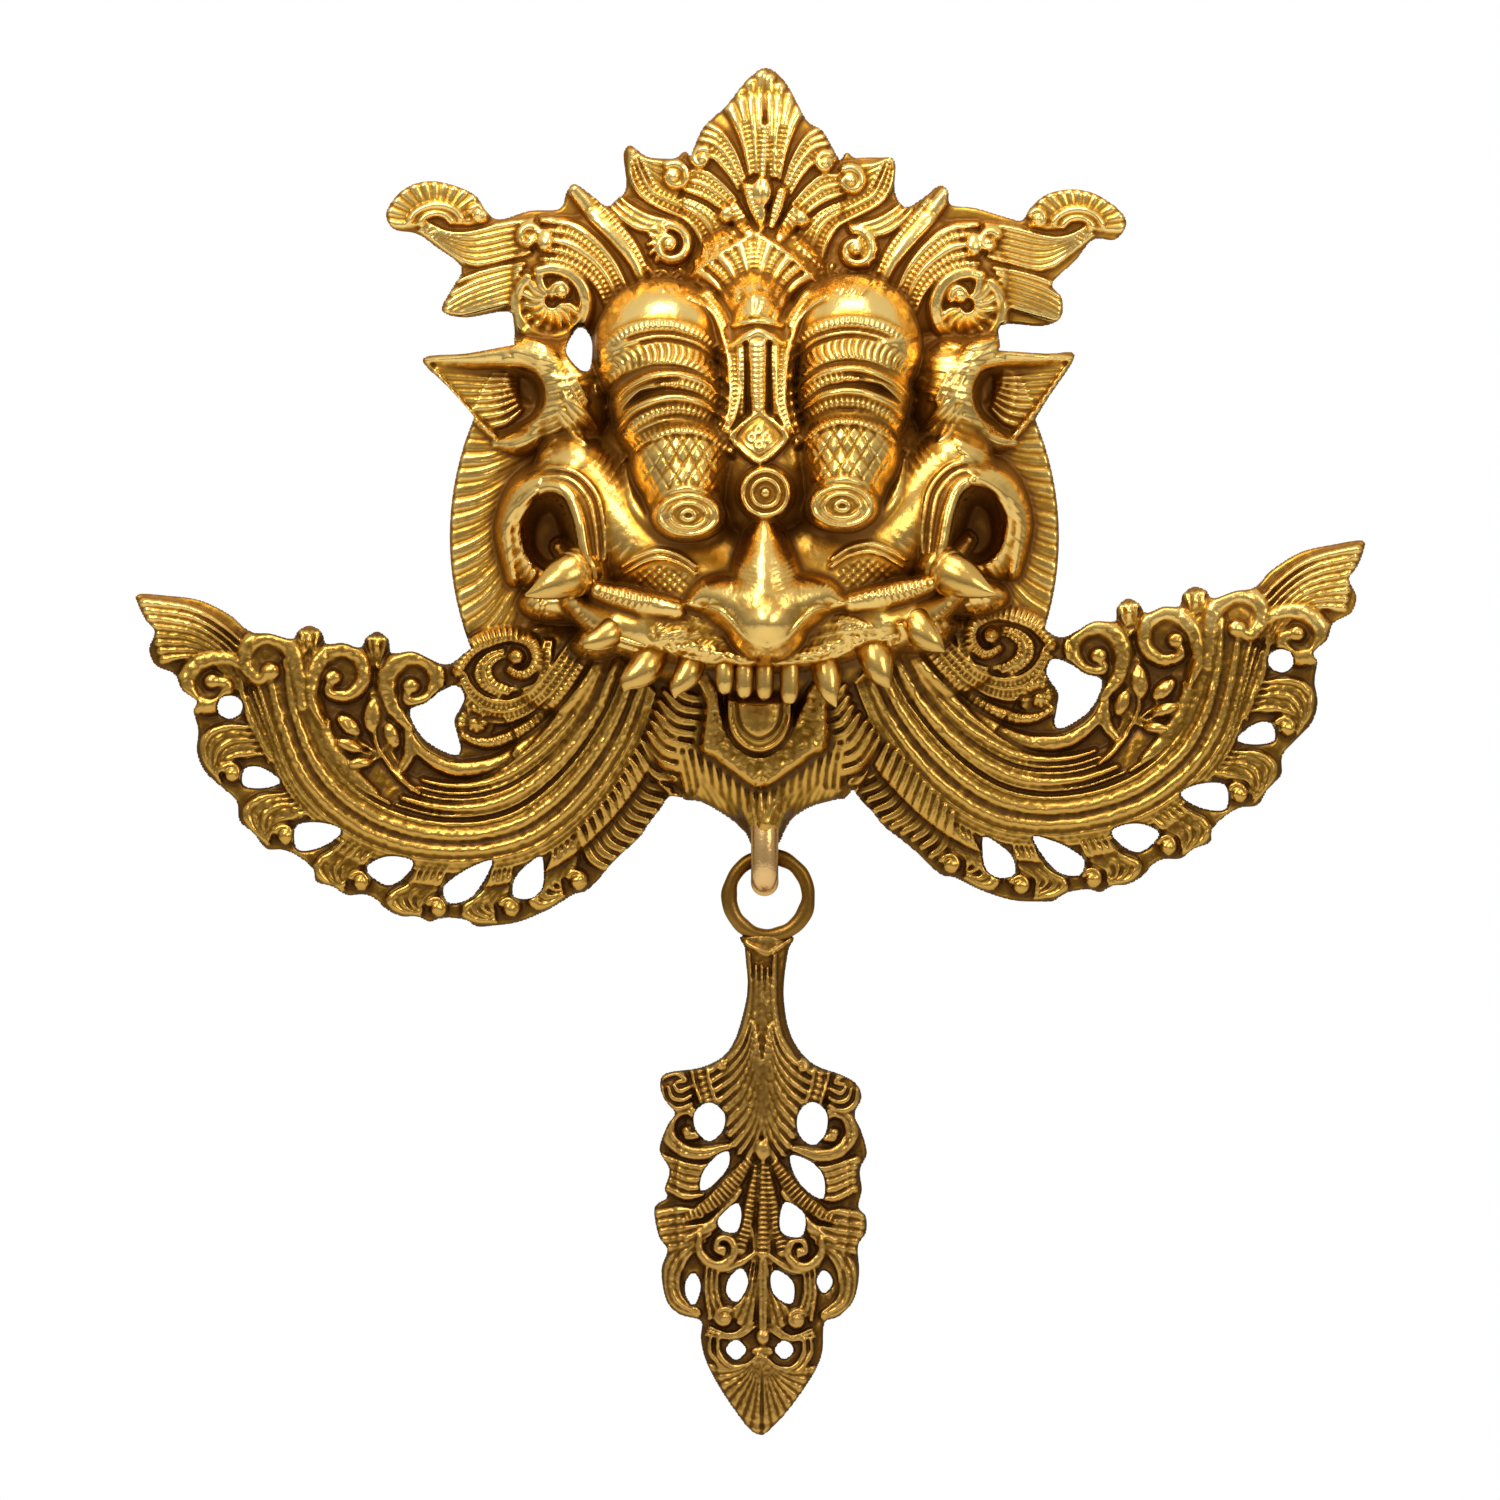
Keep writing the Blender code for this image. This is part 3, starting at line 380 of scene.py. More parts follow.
    def scroll(self, centre, radius, start, turns, width, rise, level, hand, marks=None, eye=0.36):
        """A volute that winds inwards from an angle in degrees to a bead in its middle."""
        steps = max(10, int(abs(turns) * 22))
        share = np.linspace(0, 1, steps)
        angle = math.radians(start) + hand * share * turns * TAU
        reach = (radius - width) * (1 - share) ** 0.85 + 0.10 * radius * share
        path = np.stack([centre[0] + reach * np.cos(angle), centre[1] + reach * np.sin(angle)], axis=1)
        self.stroke(path, (width, 0.95 * width, 0.6 * width), (rise, rise, rise * 0.9),
                    (level, level + 0.5), marks, steps=2)
        bead = eye * radius
        self.ball(centre, bead, bead, rise, level + 0.9)

    def band(self, guides, count, rise=1.8, level=0.4, fill=0.56, looks=(None,),
             ends=(0.75, 1, 1, 0.8)):
        """Strokes laid side by side between two or three lines, so that they fill the room."""
        lines = [resampled(self.laid(line)) for line in guides]
        if len(lines) == 2:
            lines.insert(1, (lines[0] + lines[1]) / 2)
        first, middle, last = lines
        gap = np.hypot(*(last - middle).T) + np.hypot(*(middle - first).T)
        taper = spread(ends, np.linspace(0, 1, len(first)))
        for k in range(count):
            t = (k + 0.5) / count
            path = (1 - t) * (1 - 2 * t) * first + 4 * t * (1 - t) * middle + t * (2 * t - 1) * last
            self.stroke(path, np.maximum(fill * taper * gap / count, 0.3), rise, level,
                        marks=looks[k % len(looks)], laid=False, steps=3)

    def leaf(self, root, tip, width, rise, level):
        """A pointed leaf with a groove down its middle."""
        root, tip = np.asarray(root, float), np.asarray(tip, float)
        widths = (0.3 * width, 0.9 * width, width, 0.75 * width, 0.2 * width)
        self.stroke([root, (root + tip) / 2, tip], widths, (rise, rise, 0.7 * rise), level, midrib(0.7))


def soft_max(a, b, k):
    """The larger of two heights, blended where they are close."""
    h = np.clip(0.5 + 0.5 * (a - b) / k, 0, 1)
    return b + (a - b) * h + k * h * (1 - h)


# Crest and horns

FLAME = [(0, 40), (6, 35.5), (12, 24.5), (17, 21), (20.5, 15), (24, 8), (28, -10), (0, -30), (-28, -10),
         (-24, 8), (-22, 15), (-18.5, 22.5), (-12, 28.5), (-6, 36)]
LEFT_HORN = [
    (-22, 12.2), (-28, 12.6), (-35.5, 13.2), (-40.5, 16.6), (-42.8, 14), (-42, 4), (-45.5, 0), (-48, -1.6),
    (-53, 2.2), (-57.5, 5), (-60, 2.6), (-62, -2.4), (-71, -3), (-80, -5.6), (-84, -3.2), (-88, 2.2),
    (-99, 5.8), (-108, 4), (-114, -3), (-112, -8.4), (-105, -9.8), (-99, -14), (-91.5, -20),
    (-94.5, -26.5), (-97.4, -33), (-90, -35), (-77.6, -33.2), (-75.6, -38), (-74.2, -45), (-60, -48),
    (-40, -46), (-12, -24),
]
RIGHT_HORN = [
    (22, 11.6), (27, 12.8), (34, 13), (38.7, 12), (38.7, 3), (41.8, -1.9), (47, 0.8), (52, 4.6),
    (54.7, 3), (55.5, -1.2), (63, -2.2), (73, -5.2), (77, -5.8), (79.5, -2), (84.5, 2), (92, 3.4),
    (99, 2), (106, -2.6), (108.3, -7), (105, -11.6), (98.4, -11.6), (93, -18), (86, -24.8), (88.8, -29),
    (88.6, -35), (83, -37.6), (70.5, -37.4), (69, -46), (52, -48), (36, -46), (10, -24),
]


def turned(side, degrees, lift=0.0):
    """An angle of the left half's drawing, on the given side."""
    return degrees if side == LEFT else 180 - degrees + lift


def carve_flame(art):
    """The flame over the forehead: lobes with chiselled ladders, side curls and the jewel bud."""
    art.plate(FLAME, PLATE)
    art.dome((-1, 2), 24, 30, PLATE + 4.5, 4.5, soft=2)
    art.stroke([(-1, 7), (-0.6, 14), (-0.3, 22)], (1.3, 1.5, 0.9), 2.2, 0.9,
               marks=hatch(1.4, 0.7, inner=0.7))
    for side in (LEFT, RIGHT):
        art.place = mirrored(side, -0.5, -1.3, 0.95)
        art.band([[(-1.3, 8), (-1.1, 18), (-0.6, 30), (0.2, 38.6)],
                 [(-3.4, 8), (-4.2, 17.6), (-5.6, 27), (-6.4, 33.6)],
                 [(-5.4, 7.4), (-7.4, 16), (-10.4, 24), (-13.6, 27.6)]], 4, 1.9, 0.5,
                 looks=(ladder(1.5, 12), None, ladder(1.5, 16), None), ends=(0.9, 0.9, 1, 0.9))
        art.band([[(-5.8, 6.6), (-8.8, 14.6), (-12.8, 21), (-17.6, 24)],
                 [(-7.2, 4.8), (-10.8, 11.8), (-15.4, 17), (-20.8, 18.6)],
                 [(-8.4, 2.6), (-12.4, 8.6), (-17, 12.6), (-22.4, 12.4)]], 5, 1.9, 0.5,
                 looks=(None, ladder(1.5, 15), None, ladder(1.5, 15), None))
        art.scroll((-19.4, 12.6), 4.4, turned(side, 60), 1.2, 1.4, 2.2, 1.2, -side)
        art.band([[(-8.6, 0.6), (-13, 5.6), (-18, 9.4), (-23.4, 9.4)],
                 [(-9.4, -2.4), (-14, 1.6), (-19, 5), (-25, 6.4)],
                 [(-10, -6), (-15, -2), (-20, 1), (-26, 3)]], 5, 1.8, 0.5, looks=(None, SHALLOW_CUTS))
        art.band([[(-9, -9), (-13, -5.6), (-18, -1.4), (-25, 1.6)],
                 [(-12, -14), (-15.4, -9.4), (-20, -5), (-26, -2)]], 3, 1.7, 0.5,
                 looks=(SHALLOW_CUTS, None))
        art.stroke([(-5, -10), (-7.6, -6), (-9.4, -2.4)], (1.6, 2.5, 2.0), 2.2, 2.4,
                   marks=hatch(1.5, 0.7, 0.3, 0.8))
        art.ball((-11.8, -4.4), 2.4, 2.8, 2.2, 2.2)
        art.stroke([(-2.4, -6), (-4, -1), (-5.4, 3.6)], (1.4, 2.0, 1.8), 2.4, 3.0, marks=SHALLOW_CUTS)
    art.place = tuple
    art.stroke([(-1.4, -9), (-1.4, -5), (-1.3, -1)], (1.0, 1.8, 1.4), 2.2, 3.0, marks=midrib(0.5))
    art.ball((-1.3, 2.4), 3.3, 4.6, 2.8, 3.4)
    art.groove([(-1.3, 6.6), (-1.3, -1)], 0.5, 0.8)


def carve_horn(art, side):
    """One side of the crest: volutes, hatched shell bands, and the fan at the horn's end."""
    art.plate(LEFT_HORN if side == LEFT else RIGHT_HORN, PLATE)
    art.place = mirrored(side, -0.5, -1.3, 0.95)
    hand = -side
    art.dome((-40, -20), 24, 20, PLATE + 4, 5, soft=3)
    art.dome((-56, -22), 20, 17, PLATE + 5, 6, soft=3)
    cuts = hatch(1.6, 0.7, inner=0.8)

    art.band([[(-41, 15), (-41.4, 8), (-38.4, 1.4), (-31, -3), (-24.4, -6.4), (-20.4, -12), (-18.6, -19)],
             [(-39.4, 15.6), (-35, 9), (-32, 3.6), (-25, 0.4), (-17, -3.6), (-13.6, -9), (-12.4, -14)]],
             4, 2.0, 0.5, looks=(None, cuts, None, cuts), ends=(0.5, 1, 1, 0.9))
    art.band([[(-38.6, 14.2), (-34.4, 12.6), (-29, 12.2), (-24, 10.6)],
             [(-35.4, 8.6), (-33.6, 5), (-31, 2), (-27, 1)]], 4, 1.6, 0.3)
    art.scroll((-27.4, 7.2), 5.6, turned(side, 120), 1.4, 1.7, 2.4, 1.4, -hand)
    art.band([[(-47.4, -2), (-43, -6.6), (-37.4, -9.4), (-32.6, -8.6)],
             [(-43, 1.4), (-39.6, -1.4), (-34, -4.4), (-26, -6)]], 3, 2.2, 0.5)
    art.scroll((-28.8, -13.4), 8.0, turned(side, 95), 1.3, 1.9, 2.6, 1.0, -hand, eye=0.28)
    centre = np.array([-29.4, -13.2])
    for k in range(6):
        out = heading(100 + 27 * k)
        art.stroke([centre + 2.2 * out, centre + 4.4 * out + (-0.3, 0.4), centre + 6.0 * out],
                   (0.7, 1.1, 0.8), 1.5, 1.6)

    art.band([[(-37, -19), (-35, -23), (-32, -27.4)], [(-27, -21), (-25, -23.6), (-23, -26.4)],
             [(-18, -15.4), (-18.4, -19.8), (-20.4, -24)]], 8, 1.5, 0.3, looks=(None, cuts))
    art.stroke([(-57.4, 3.2), (-51.8, -3.4), (-45, -11), (-39.8, -18), (-37.4, -23.5)],
               (2.3, 3.0, 2.8, 2.3, 1.8), 2.6, 0.5)
    art.stroke([(-52, 1.6), (-46.4, -5.4), (-40, -13.2), (-36, -20.6)], (0.7, 1.6, 1.6, 1.2), 2.4, 0.8,
               marks=cuts)
    art.band([[(-67, -4.6), (-58.4, -5.6), (-50, -12), (-44.4, -19), (-41, -26)],
              [(-67, -19), (-60.6, -20), (-54.6, -23), (-50.6, -27.4), (-48.4, -33)]], 5, 2.3, 1.0,
             looks=(None, cuts, None, cuts, cuts))
    art.scroll((-71.2, -11), 5.0, turned(side, 40), 1.1, 1.8, 2.8, 1.8, hand, eye=0.3)
    art.ball((-66.4, -11.8), 2.8, 3.6, 2.6, 2.4)

    art.stroke(arc((-64.6, -31.2), 10.6, 10.6, 2.3, 8.2, 18), (1.8, 2.5, 2.5, 2.0), 2.6, 0.9,
               marks=midrib(0.4, 0.3))
    centre = np.array([-64.2, -30.2])
    for k in range(10):
        out = heading(118 + 24 * k)
        around = np.array([-out[1], out[0]])
        art.stroke([centre + 2.6 * out, centre + 5.4 * out + 0.7 * around, centre + 8.4 * out],
                   (0.9, 1.7, 1.7), 2.1, 0.9)
    art.scroll((-61.6, -27.4), 4.2, turned(side, 200), 1.2, 1.4, 2.4, 1.6, -hand)

    art.band([[(-102, -5.8), (-96, -8.8), (-90, -9.2), (-84.6, -7.8), (-78, -6.2), (-70, -5)],
             [(-104.6, -9), (-98, -14), (-91.4, -18.8), (-86, -20), (-79, -18.4), (-71, -16.4)]], 6, 1.9,
             0.3)
    root = np.array([-99.0, -7.2])
    for k in range(13):
        out = heading(6 + 14.4 * k)
        reach = 12.6 + 1.6 * abs(out[0])
        art.stroke([root + 5.4 * out, root + 0.7 * reach * out, root + reach * out], (0.8, 1.5, 1.75),
                   1.4, 0.2)
    for radius, rise in ((7.0, 1.9), (4.2, 1.7)):
        art.stroke(arc((-99, -7.4), 1.15 * radius, 0.85 * radius, 0.35, math.pi - 0.25, 9), 1.3, rise, 0.8)
    art.scroll((-86.4, -4.2), 4.0, turned(side, 150), 1.2, 1.3, 2.0, 0.8, -hand, eye=0.4)
    art.band([[(-72, -18), (-80, -19.2), (-86, -20.6), (-91, -22)],
             [(-75.4, -24.6), (-83, -27), (-90, -29.6), (-96, -33)],
             [(-77.6, -31.6), (-82, -32.4), (-87, -33.4), (-91.6, -34.2)]], 7, 1.8, 0.3)
    art.place = tuple


def carve_palmette(art):
    """The palm leaf on the forehead: lobes and chiselled ladders inside a pointed border."""
    art.dome((-3, -27), 22, 21, PLATE + 19, 19, soft=3)
    art.dome((-3.4, -40), 13, 18, PLATE + 32, 18, soft=4)
    cuts = hatch(1.45, 0.8, inner=0.85)
    left = [(-8.6, -41), (-12, -33), (-17, -26.4), (-22, -23)]
    right = [(1.4, -41), (5, -34), (9.6, -27.6), (14.8, -24.6)]
    art.band([left, [(-6.4, -36), (-7, -27), (-9.6, -20), (-13, -15.4)],
             [(-3.6, -34), (-3.6, -26), (-3.4, -18), (-3.3, -11)]], 6, 2.1, 0.6, fill=0.58,
             looks=(None, cuts))
    art.band([[(-3.6, -34), (-3.6, -26), (-3.4, -18), (-3.3, -11)],
             [(-0.8, -36), (0, -28), (2.4, -21), (5.8, -16)], right], 6, 2.1, 0.6, fill=0.58,
             looks=(cuts, None))
    art.stroke([(-23, -23), (-15, -17), (-3.3, -10)], (0.8, 1.0, 1.0), 2.0, 0.9)
    art.stroke([(-3.3, -10), (6.6, -16.4), (15.4, -25)], (1.0, 1.0, 0.8), 2.0, 0.9)
    art.ball((-4.4, -30.4), 6.6, 8.0, 2.2, 2.2)
    art.band([[(-5.4, -37), (-8.4, -34), (-10, -29.4)], [(-4.4, -37), (-4.4, -30), (-4.4, -23.4)],
              [(-3.4, -37), (-0.4, -34), (1.2, -29.4)]], 5, 2.0, 3.2, looks=(cuts, None, None, None, cuts))
    art.ball((-4.4, -27.6), 2.2, 3.4, 2.2, 4.6)


# Face

EAR_GAP = [(-56, -38), (-52.4, -42), (-52.6, -50), (-55, -51.4), (-58.6, -48), (-60, -44)]
LEFT_EAR = [(-103.3, -47.4), (-90, -46), (-76, -43.6), (-64, -41.5), (-54, -50), (-53, -66), (-62, -77),
            (-76, -75.5), (-81.5, -72), (-87.5, -65), (-95.5, -56)]
RIGHT_EAR = [(92.8, -46.4), (84, -46), (70, -45.2), (58, -44), (50, -50), (50, -66), (58, -78),
             (70, -76.5), (77.5, -70.5), (85, -59)]

def carve_disc(art):
    """The round mane plate with slanting locks."""
    rim_line = arc(DISC_CENTRE, DISC_RADIUS, DISC_RADIUS, math.radians(-50), math.radians(230), 29)
    art.plate(rim_line, DISC_PLATE)
    for k in range(LOCKS):
        angle = math.radians(90 + 360 * (k + 0.5) / LOCKS)
        if math.sin(angle) > CREST_COVERS:
            continue
        turn = -0.25 if math.cos(angle) < 0 else 0.25
        path = [polar(DISC_CENTRE, DISC_RADIUS * share, angle + turn * swing)
                for share, swing in ((0.73, 1.0), (0.81, 0.52), (0.90, 0.14), (0.985, 0.0))]
        rises = (1.3, 2.0, 2.0, 1.2) if k % 3 else (1.0, 1.5, 1.6, 0.8)
        art.stroke(path, (1.0, 1.9, 2.3, 2.3), rises, 0.1)
        art.groove(path[1:], (0.3, 0.5, 0.3), (0.2, 0.5, 0.1))


def ear_place(side):
    """Where a point of the left ear's drawing lies: the right ear is a little shorter."""
    if side == LEFT:
        return tuple

    def place(point):
        x = -point[0]
        share = np.clip((x - 55) / 48, 0, 1)
        return x - 2.5 - 8.0 * share, point[1] + 0.4

    return place


def carve_ear(art, side):
    """A pointed ear turned outwards, with a rolled rim around its fluted hollow."""
    art.plate(LEFT_EAR if side == LEFT else RIGHT_EAR, PLATE)
    art.place = ear_place(side)
    art.dome((-58, -60), 13, 18, 24, 18, soft=4)
    art.dome((-66, -57), 13, 15, 18, 13, soft=3)
    art.ridge([(-67, -66), (-69, -70.4), (-74, -72.6), (-81, -73)], (4.4, 4.4, 4.0, 2.6),
              (17, 14.5, 11, 7), 9, soft=2)
    art.ridge([(-102, -48), (-90, -47.2), (-78, -46.2), (-69, -46.8), (-63.6, -51.6), (-62.4, -58),
              (-64.6, -65), (-69, -69.6)], (1.3, 2.8, 4.0, 4.6, 4.8, 4.8, 4.4, 3.6),
              (6.5, 10, 14, 18, 22, 22, 19, 14.5), 7, soft=1.6)
    art.sink([(-100, -49.4), (-88, -49.2), (-77, -49.6), (-70, -51.2), (-66.2, -56), (-66.4, -62),
             (-69.6, -66.6), (-75, -69.6), (-81, -70.6), (-89, -62)], 5.4, slope=2.6)
    art.sink([(-78, -50.6), (-71, -52), (-67.6, -57), (-69.6, -62), (-75, -60)], 3.6, slope=3)
    art.ridge([(-101.5, -49.2), (-95, -57), (-88, -65), (-81.5, -71)], (0.8, 1.1, 1.2),
              (6.2, 6.6, 7.0, 7.6), 2, soft=0.6)
    art.band([[(-74, -51.4), (-85, -50.4), (-99, -49.6)], [(-75, -57), (-83, -58.6), (-92.4, -58.6)],
              [(-73, -63.6), (-77, -67.4), (-83, -69.6)]], 8, 2.1, 0.2, fill=0.56, ends=(0.7, 1, 1))
    art.band([[(-61.4, -47), (-57, -52.6), (-53, -60)], [(-64, -53.4), (-60.4, -59.6), (-55.4, -66.6)]],
             5, 1.7, 0.3, looks=(None, hatch(1.7, 0.5, inner=0.8)), ends=(0.6, 1, 0.8))
    art.leaf((-60, -60), (-50, -70), 3.0, 2.0, 0.3)
    art.leaf((-63, -62), (-54, -73), 2.6, 1.8, 0.3)
    art.place = tuple


def eye_place(side):
    """Where a point of the left eye's drawing lies: the right eye is a little higher."""
    if side == LEFT:
        return tuple

    def place(point):
        x, z = point
        share = min(max((-38 - z) / 40, 0), 1)
        return -x - 6.4 + 5.8 * share, z + 1 + 1.7 * share

    return place


def carve_eye(art, side):
    """The eye's tower: a smooth dome, the stack of lid folds, the ball and the stepped pupil."""
    art.place = eye_place(side)
    top, ball, pupil = (-31.4, -45.2), (-24.8, -79), (-23.2, -95.2)
    art.dome(top, 20.6, 21.5, 46, 40, soft=2, square=2.8)
    art.dome((-28.4, -61), 18.6, 22, 53, 42, soft=3, square=2.6)
    art.dome(ball, 16.2, 17.5, 59, 40, soft=2, square=2.6)
    art.dome((-24.2, -86.6), 13.0, 14.0, 62, 34, soft=2, square=2.4)
    art.dome(pupil, 10.8, 7.5, 64, 18, soft=1.2, square=5)

    cuts = hatch(1.6, 0.9, inner=0.8)
    art.stroke([(-51.2, -47.8), (-43.5, -41), (-32, -38.2), (-20.5, -40.4), (-12.8, -46.2)],
               (1.2, 1.8, 1.9, 1.8, 1.2), 2.0, 0.3, marks=cuts)
    art.stroke([(-50.2, -51.4), (-43.5, -44.8), (-32.2, -41.6), (-20.8, -43.6), (-12.6, -50)], 0.7, 1.3,
               0.4)
    art.stroke([(-49.6, -56.6), (-43.5, -50.2), (-32.4, -46.6), (-21, -48.6), (-12.4, -55.4)],
               (2.2, 3.2, 3.6, 3.2, 2.0), 2.4, 0.4, marks=crescents(2.1, 1.2))
    art.stroke([(-47, -62.4), (-40.8, -56.6), (-31.6, -53), (-20.4, -54.4), (-11.4, -60.6)],
               (0.9, 1.3, 1.3, 1.0), 2.3, 0.5)
    art.stroke([(-32, -56.2), (-26, -56), (-19, -57.8), (-11.4, -63.6)], (0.8, 1.7, 1.7, 1.2), 2.0, 0.4,
               marks=cuts)
    art.stroke([(-45, -69.4), (-39.6, -63.8), (-30.4, -60.3), (-20.4, -61.2), (-11.2, -67)],
               (1.0, 1.5, 1.5, 1.2), 2.5, 0.5)
    art.stroke([(-43, -72.4), (-38.4, -67.2), (-30, -63.9), (-20.6, -64.6), (-11.4, -70)],
               (1.2, 1.9, 2.0, 1.4), 2.1, 0.4, marks=cuts)
    art.stroke([(-42.4, -75), (-38, -69.8), (-29.6, -66.8), (-20.2, -67.4), (-11, -72.6)], 0.7, 1.4, 0.4)
    art.stroke([(-42, -78), (-37.6, -72.8), (-29, -69.6), (-19.6, -70.2), (-10.6, -75.6)],
               (1.4, 2.1, 2.1, 1.6), 2.5, 0.4, marks=cuts)
    art.groove([(-42.6, -63.4), (-37, -59.2), (-30.4, -57.4)], (0.5, 1.3, 0.4), (2.0, 4.8, 1.0))
    art.groove([(-16, -52.6), (-13.2, -55), (-11, -58.4)], (0.3, 0.9, 0.4), (0.8, 2.4, 0.8))
    art.groove([(-42.6, -80), (-38, -75), (-29, -72), (-19.4, -72.6), (-10, -78)], 0.6, 1.6)

    centre = np.array(art.place(ball))
    end = np.array(art.place(pupil))
    win = art.window((centre[0] - 15, end[1] + 4), (centre[0] + 15, centre[1] + 8.5), 1)
    x, z = art.x[win] - centre[0], art.z[win] - (centre[1] - 1.4)
    inside = (x / 13.8) ** 2 + (z / 9.6) ** 2 < 1
    lines = np.clip((net(x, z, 4.1, 0.62) - 0.395) / 0.07, 0, 1)
    art.relief[win] = np.where(inside, 0.5 - 0.9 * lines, art.relief[win])

    art.stroke([(-33.6, -92.8), (-30, -89.2), (-24, -87.4), (-17.4, -88.8), (-13.6, -92)],
               (0.8, 1.4, 0.9), 1.6, 0.3)
    for reach, width, rise in ((7.7, 0.85, 1.1), (4.7, 0.7, 0.8), (1.7, 0.8, 0.9)):
        art.stroke(arc(pupil, 1.17 * reach, 0.79 * reach, count=19), width, rise, 0.3)
    cup = [(-42, -80), (-39.6, -90), (-35, -96.6), (-26, -102.4), (-16, -100.6), (-9.6, -93), (-8.4, -84)]
    art.ridge(cup, (1.0, 3.6, 4.4, 4.4, 3.6, 1.0), (30, 39, 44, 44, 41, 32), 14, soft=6)
    art.place = tuple


def carve_brow(art):
    """The ribbed bar between the eyes, its cap, the lozenge and the ring boss."""
    art.dome((-2.4, -56), 11, 28, 46, 14, soft=3)
    art.dome((-1, -82), 16, 20, 50.5, 14, soft=4)
    art.band([[(-8.6, -33), (-8.4, -41)], [(3.6, -33), (3.2, -41)]], 5, 1.8, 0.3, looks=(CUTS, None))
    for side in (LEFT, RIGHT):
        art.place = mirrored(side, -5.0)
        art.ridge([(-18, -30), (-12.6, -40), (-10, -51), (-9.6, -62), (-11.6, -70), (-13, -79)],
                  (3.0, 3.8, 3.8, 4.0, 4.4, 4.0), (30, 38, 42, 45.5, 48.5, 48), 7, soft=3)
        art.band([[(-23.4, -30), (-16.8, -34.4), (-12.8, -45.5), (-11.6, -55), (-11.6, -63), (-14, -71)],
                 [(-18.4, -25), (-12.4, -31.6), (-8.2, -41), (-7.4, -52), (-7.8, -63), (-11, -70)]], 3,
                 2.1, 0.4, looks=(None, CUTS, None), ends=(0.8, 1, 1, 1, 0.7))
    art.place = tuple
    art.stroke([(-10, -40), (-2.6, -39), (4.8, -40)], (2.6, 3.4, 2.6), 0.4, 0.6, power=0.2, bed=True)
    art.stroke([(-9.8, -38.2), (-2.6, -36.8), (4.6, -38.2)], (1.0, 1.4, 1.0), 2.0, 1.2)
    art.stroke([(-10.6, -44.6), (-6.4, -42), (-2.6, -40.2), (1.2, -41.8), (5.4, -44)],
               (0.8, 1.5, 1.6, 1.5, 0.8), 2.2, 1.6)
    for side in (LEFT, RIGHT):
        art.groove([(-2.6 + 3.5 * side, -44), (-2.4 + 3.2 * side, -52), (-2.2 + 3.2 * side, -64)], 0.5,
                   1.6)
        art.stroke([(-2.6 + 4.8 * side, -44), (-2.4 + 4.6 * side, -54), (-2.2 + 4.8 * side, -65)],
                   (1.2, 1.0, 1.2), 1.7, 0.5, marks=beads(1.4, 0.7))
    art.stroke([(-2.6, -43.6), (-2.5, -54), (-2.2, -65)], (3.0, 2.7, 2.6), 2.6, 1.4,
               marks=crescents(1.55, 0.9, 0.4, 0.8), power=0.4)
    win = art.window((-12, -81), (8, -63), 1)
    x, z = art.x[win] + 2, art.z[win] + 71.8
    q = (np.abs(x / 9.3) ** 1.25 + np.abs(z / 8.6) ** 1.25) ** 0.8
    lozenge = 3.4 - 1.0 * np.exp(-((q - 0.70) / 0.06) ** 2) - 0.5 * (q < 0.62) + 0.5 * np.clip(1 - q, 0, 0.3)
    art.relief[win] = np.where(q < 1, lozenge, art.relief[win])
    for dx, dz in ((0, 2.3), (0, -2.3), (2.3, 0), (-2.3, 0)):
        art.stroke(arc((-2 + dx, -71.8 + dz), 1.1, 1.1, count=8), 0.5, 0.7, 2.9)
    boss = (-0.2, -88.4)
    art.dome(boss, 8.5, 8.3, 57, 9, soft=1, square=6)
    for radius, width, rise in ((6.9, 1.1, 1.4), (4.1, 0.8, 1.0)):
        art.stroke(arc(boss, radius, radius), width, rise, 0.3)
    art.ball(boss, 1.6, 1.6, 1.2, 0.4)


def carve_face(art):
    """The broad modelling of brow, cheeks, muzzle and nose."""
    art.dome((-1, -99), 57, 56, 33, 29, soft=2, square=2.8)
    art.dome((-2, -78), 34, 40, 38, 24, soft=4)
    for side in (LEFT, RIGHT):
        art.place = mirrored(side, -1.5, 2.0)
        carve_cheek(art)
    art.place = tuple
    for side in (LEFT, RIGHT):
        carve_eye(art, side)
    carve_brow(art)
    art.dome((-0.5, -121), 40, 19, 51, 26, soft=5, square=2.5)
    art.lift([(-38, -121), (-20, -116), (20, -116), (37, -119), (35, -130), (26, -136), (10, -139.4),
             (-10, -139.8), (-27, -138), (-37, -133)], 47.6, slope=4)
    carve_moustache(art)
    art.ridge([(-0.6, -95.4), (-0.5, -103), (-0.2, -111), (0.2, -119), (0.3, -126.6)],
              (3.8, 7.4, 10.4, 13.0, 12.4), (55.6, 60, 63.2, 65.6, 66.6), 19, soft=2.5)
    for side in (LEFT, RIGHT):
        art.ridge([(22.4 * side, -121.2), (17.4 * side, -119.2), (11 * side, -120.2), (5 * side, -123.4),
                  (0, -127)], (2.8, 6.2, 8.6, 9.4, 9.0), (53, 58.6, 62.4, 65, 66.8), 15, soft=4)
    art.dome((0.3, -127.6), 9.6, 10.4, 67.2, 20, soft=4)
    for side in (LEFT, RIGHT):
        art.stroke([(24 * side, -121), (19.4 * side, -123), (14.8 * side, -123.4), (10.8 * side, -127),
                   (6.4 * side, -132.2), (0.3, -135.4)], (0.8, 1.2, 1.3, 1.1), (0.9, 1.3, 1.2, 0.8), 0.1)
    carve_lip(art)


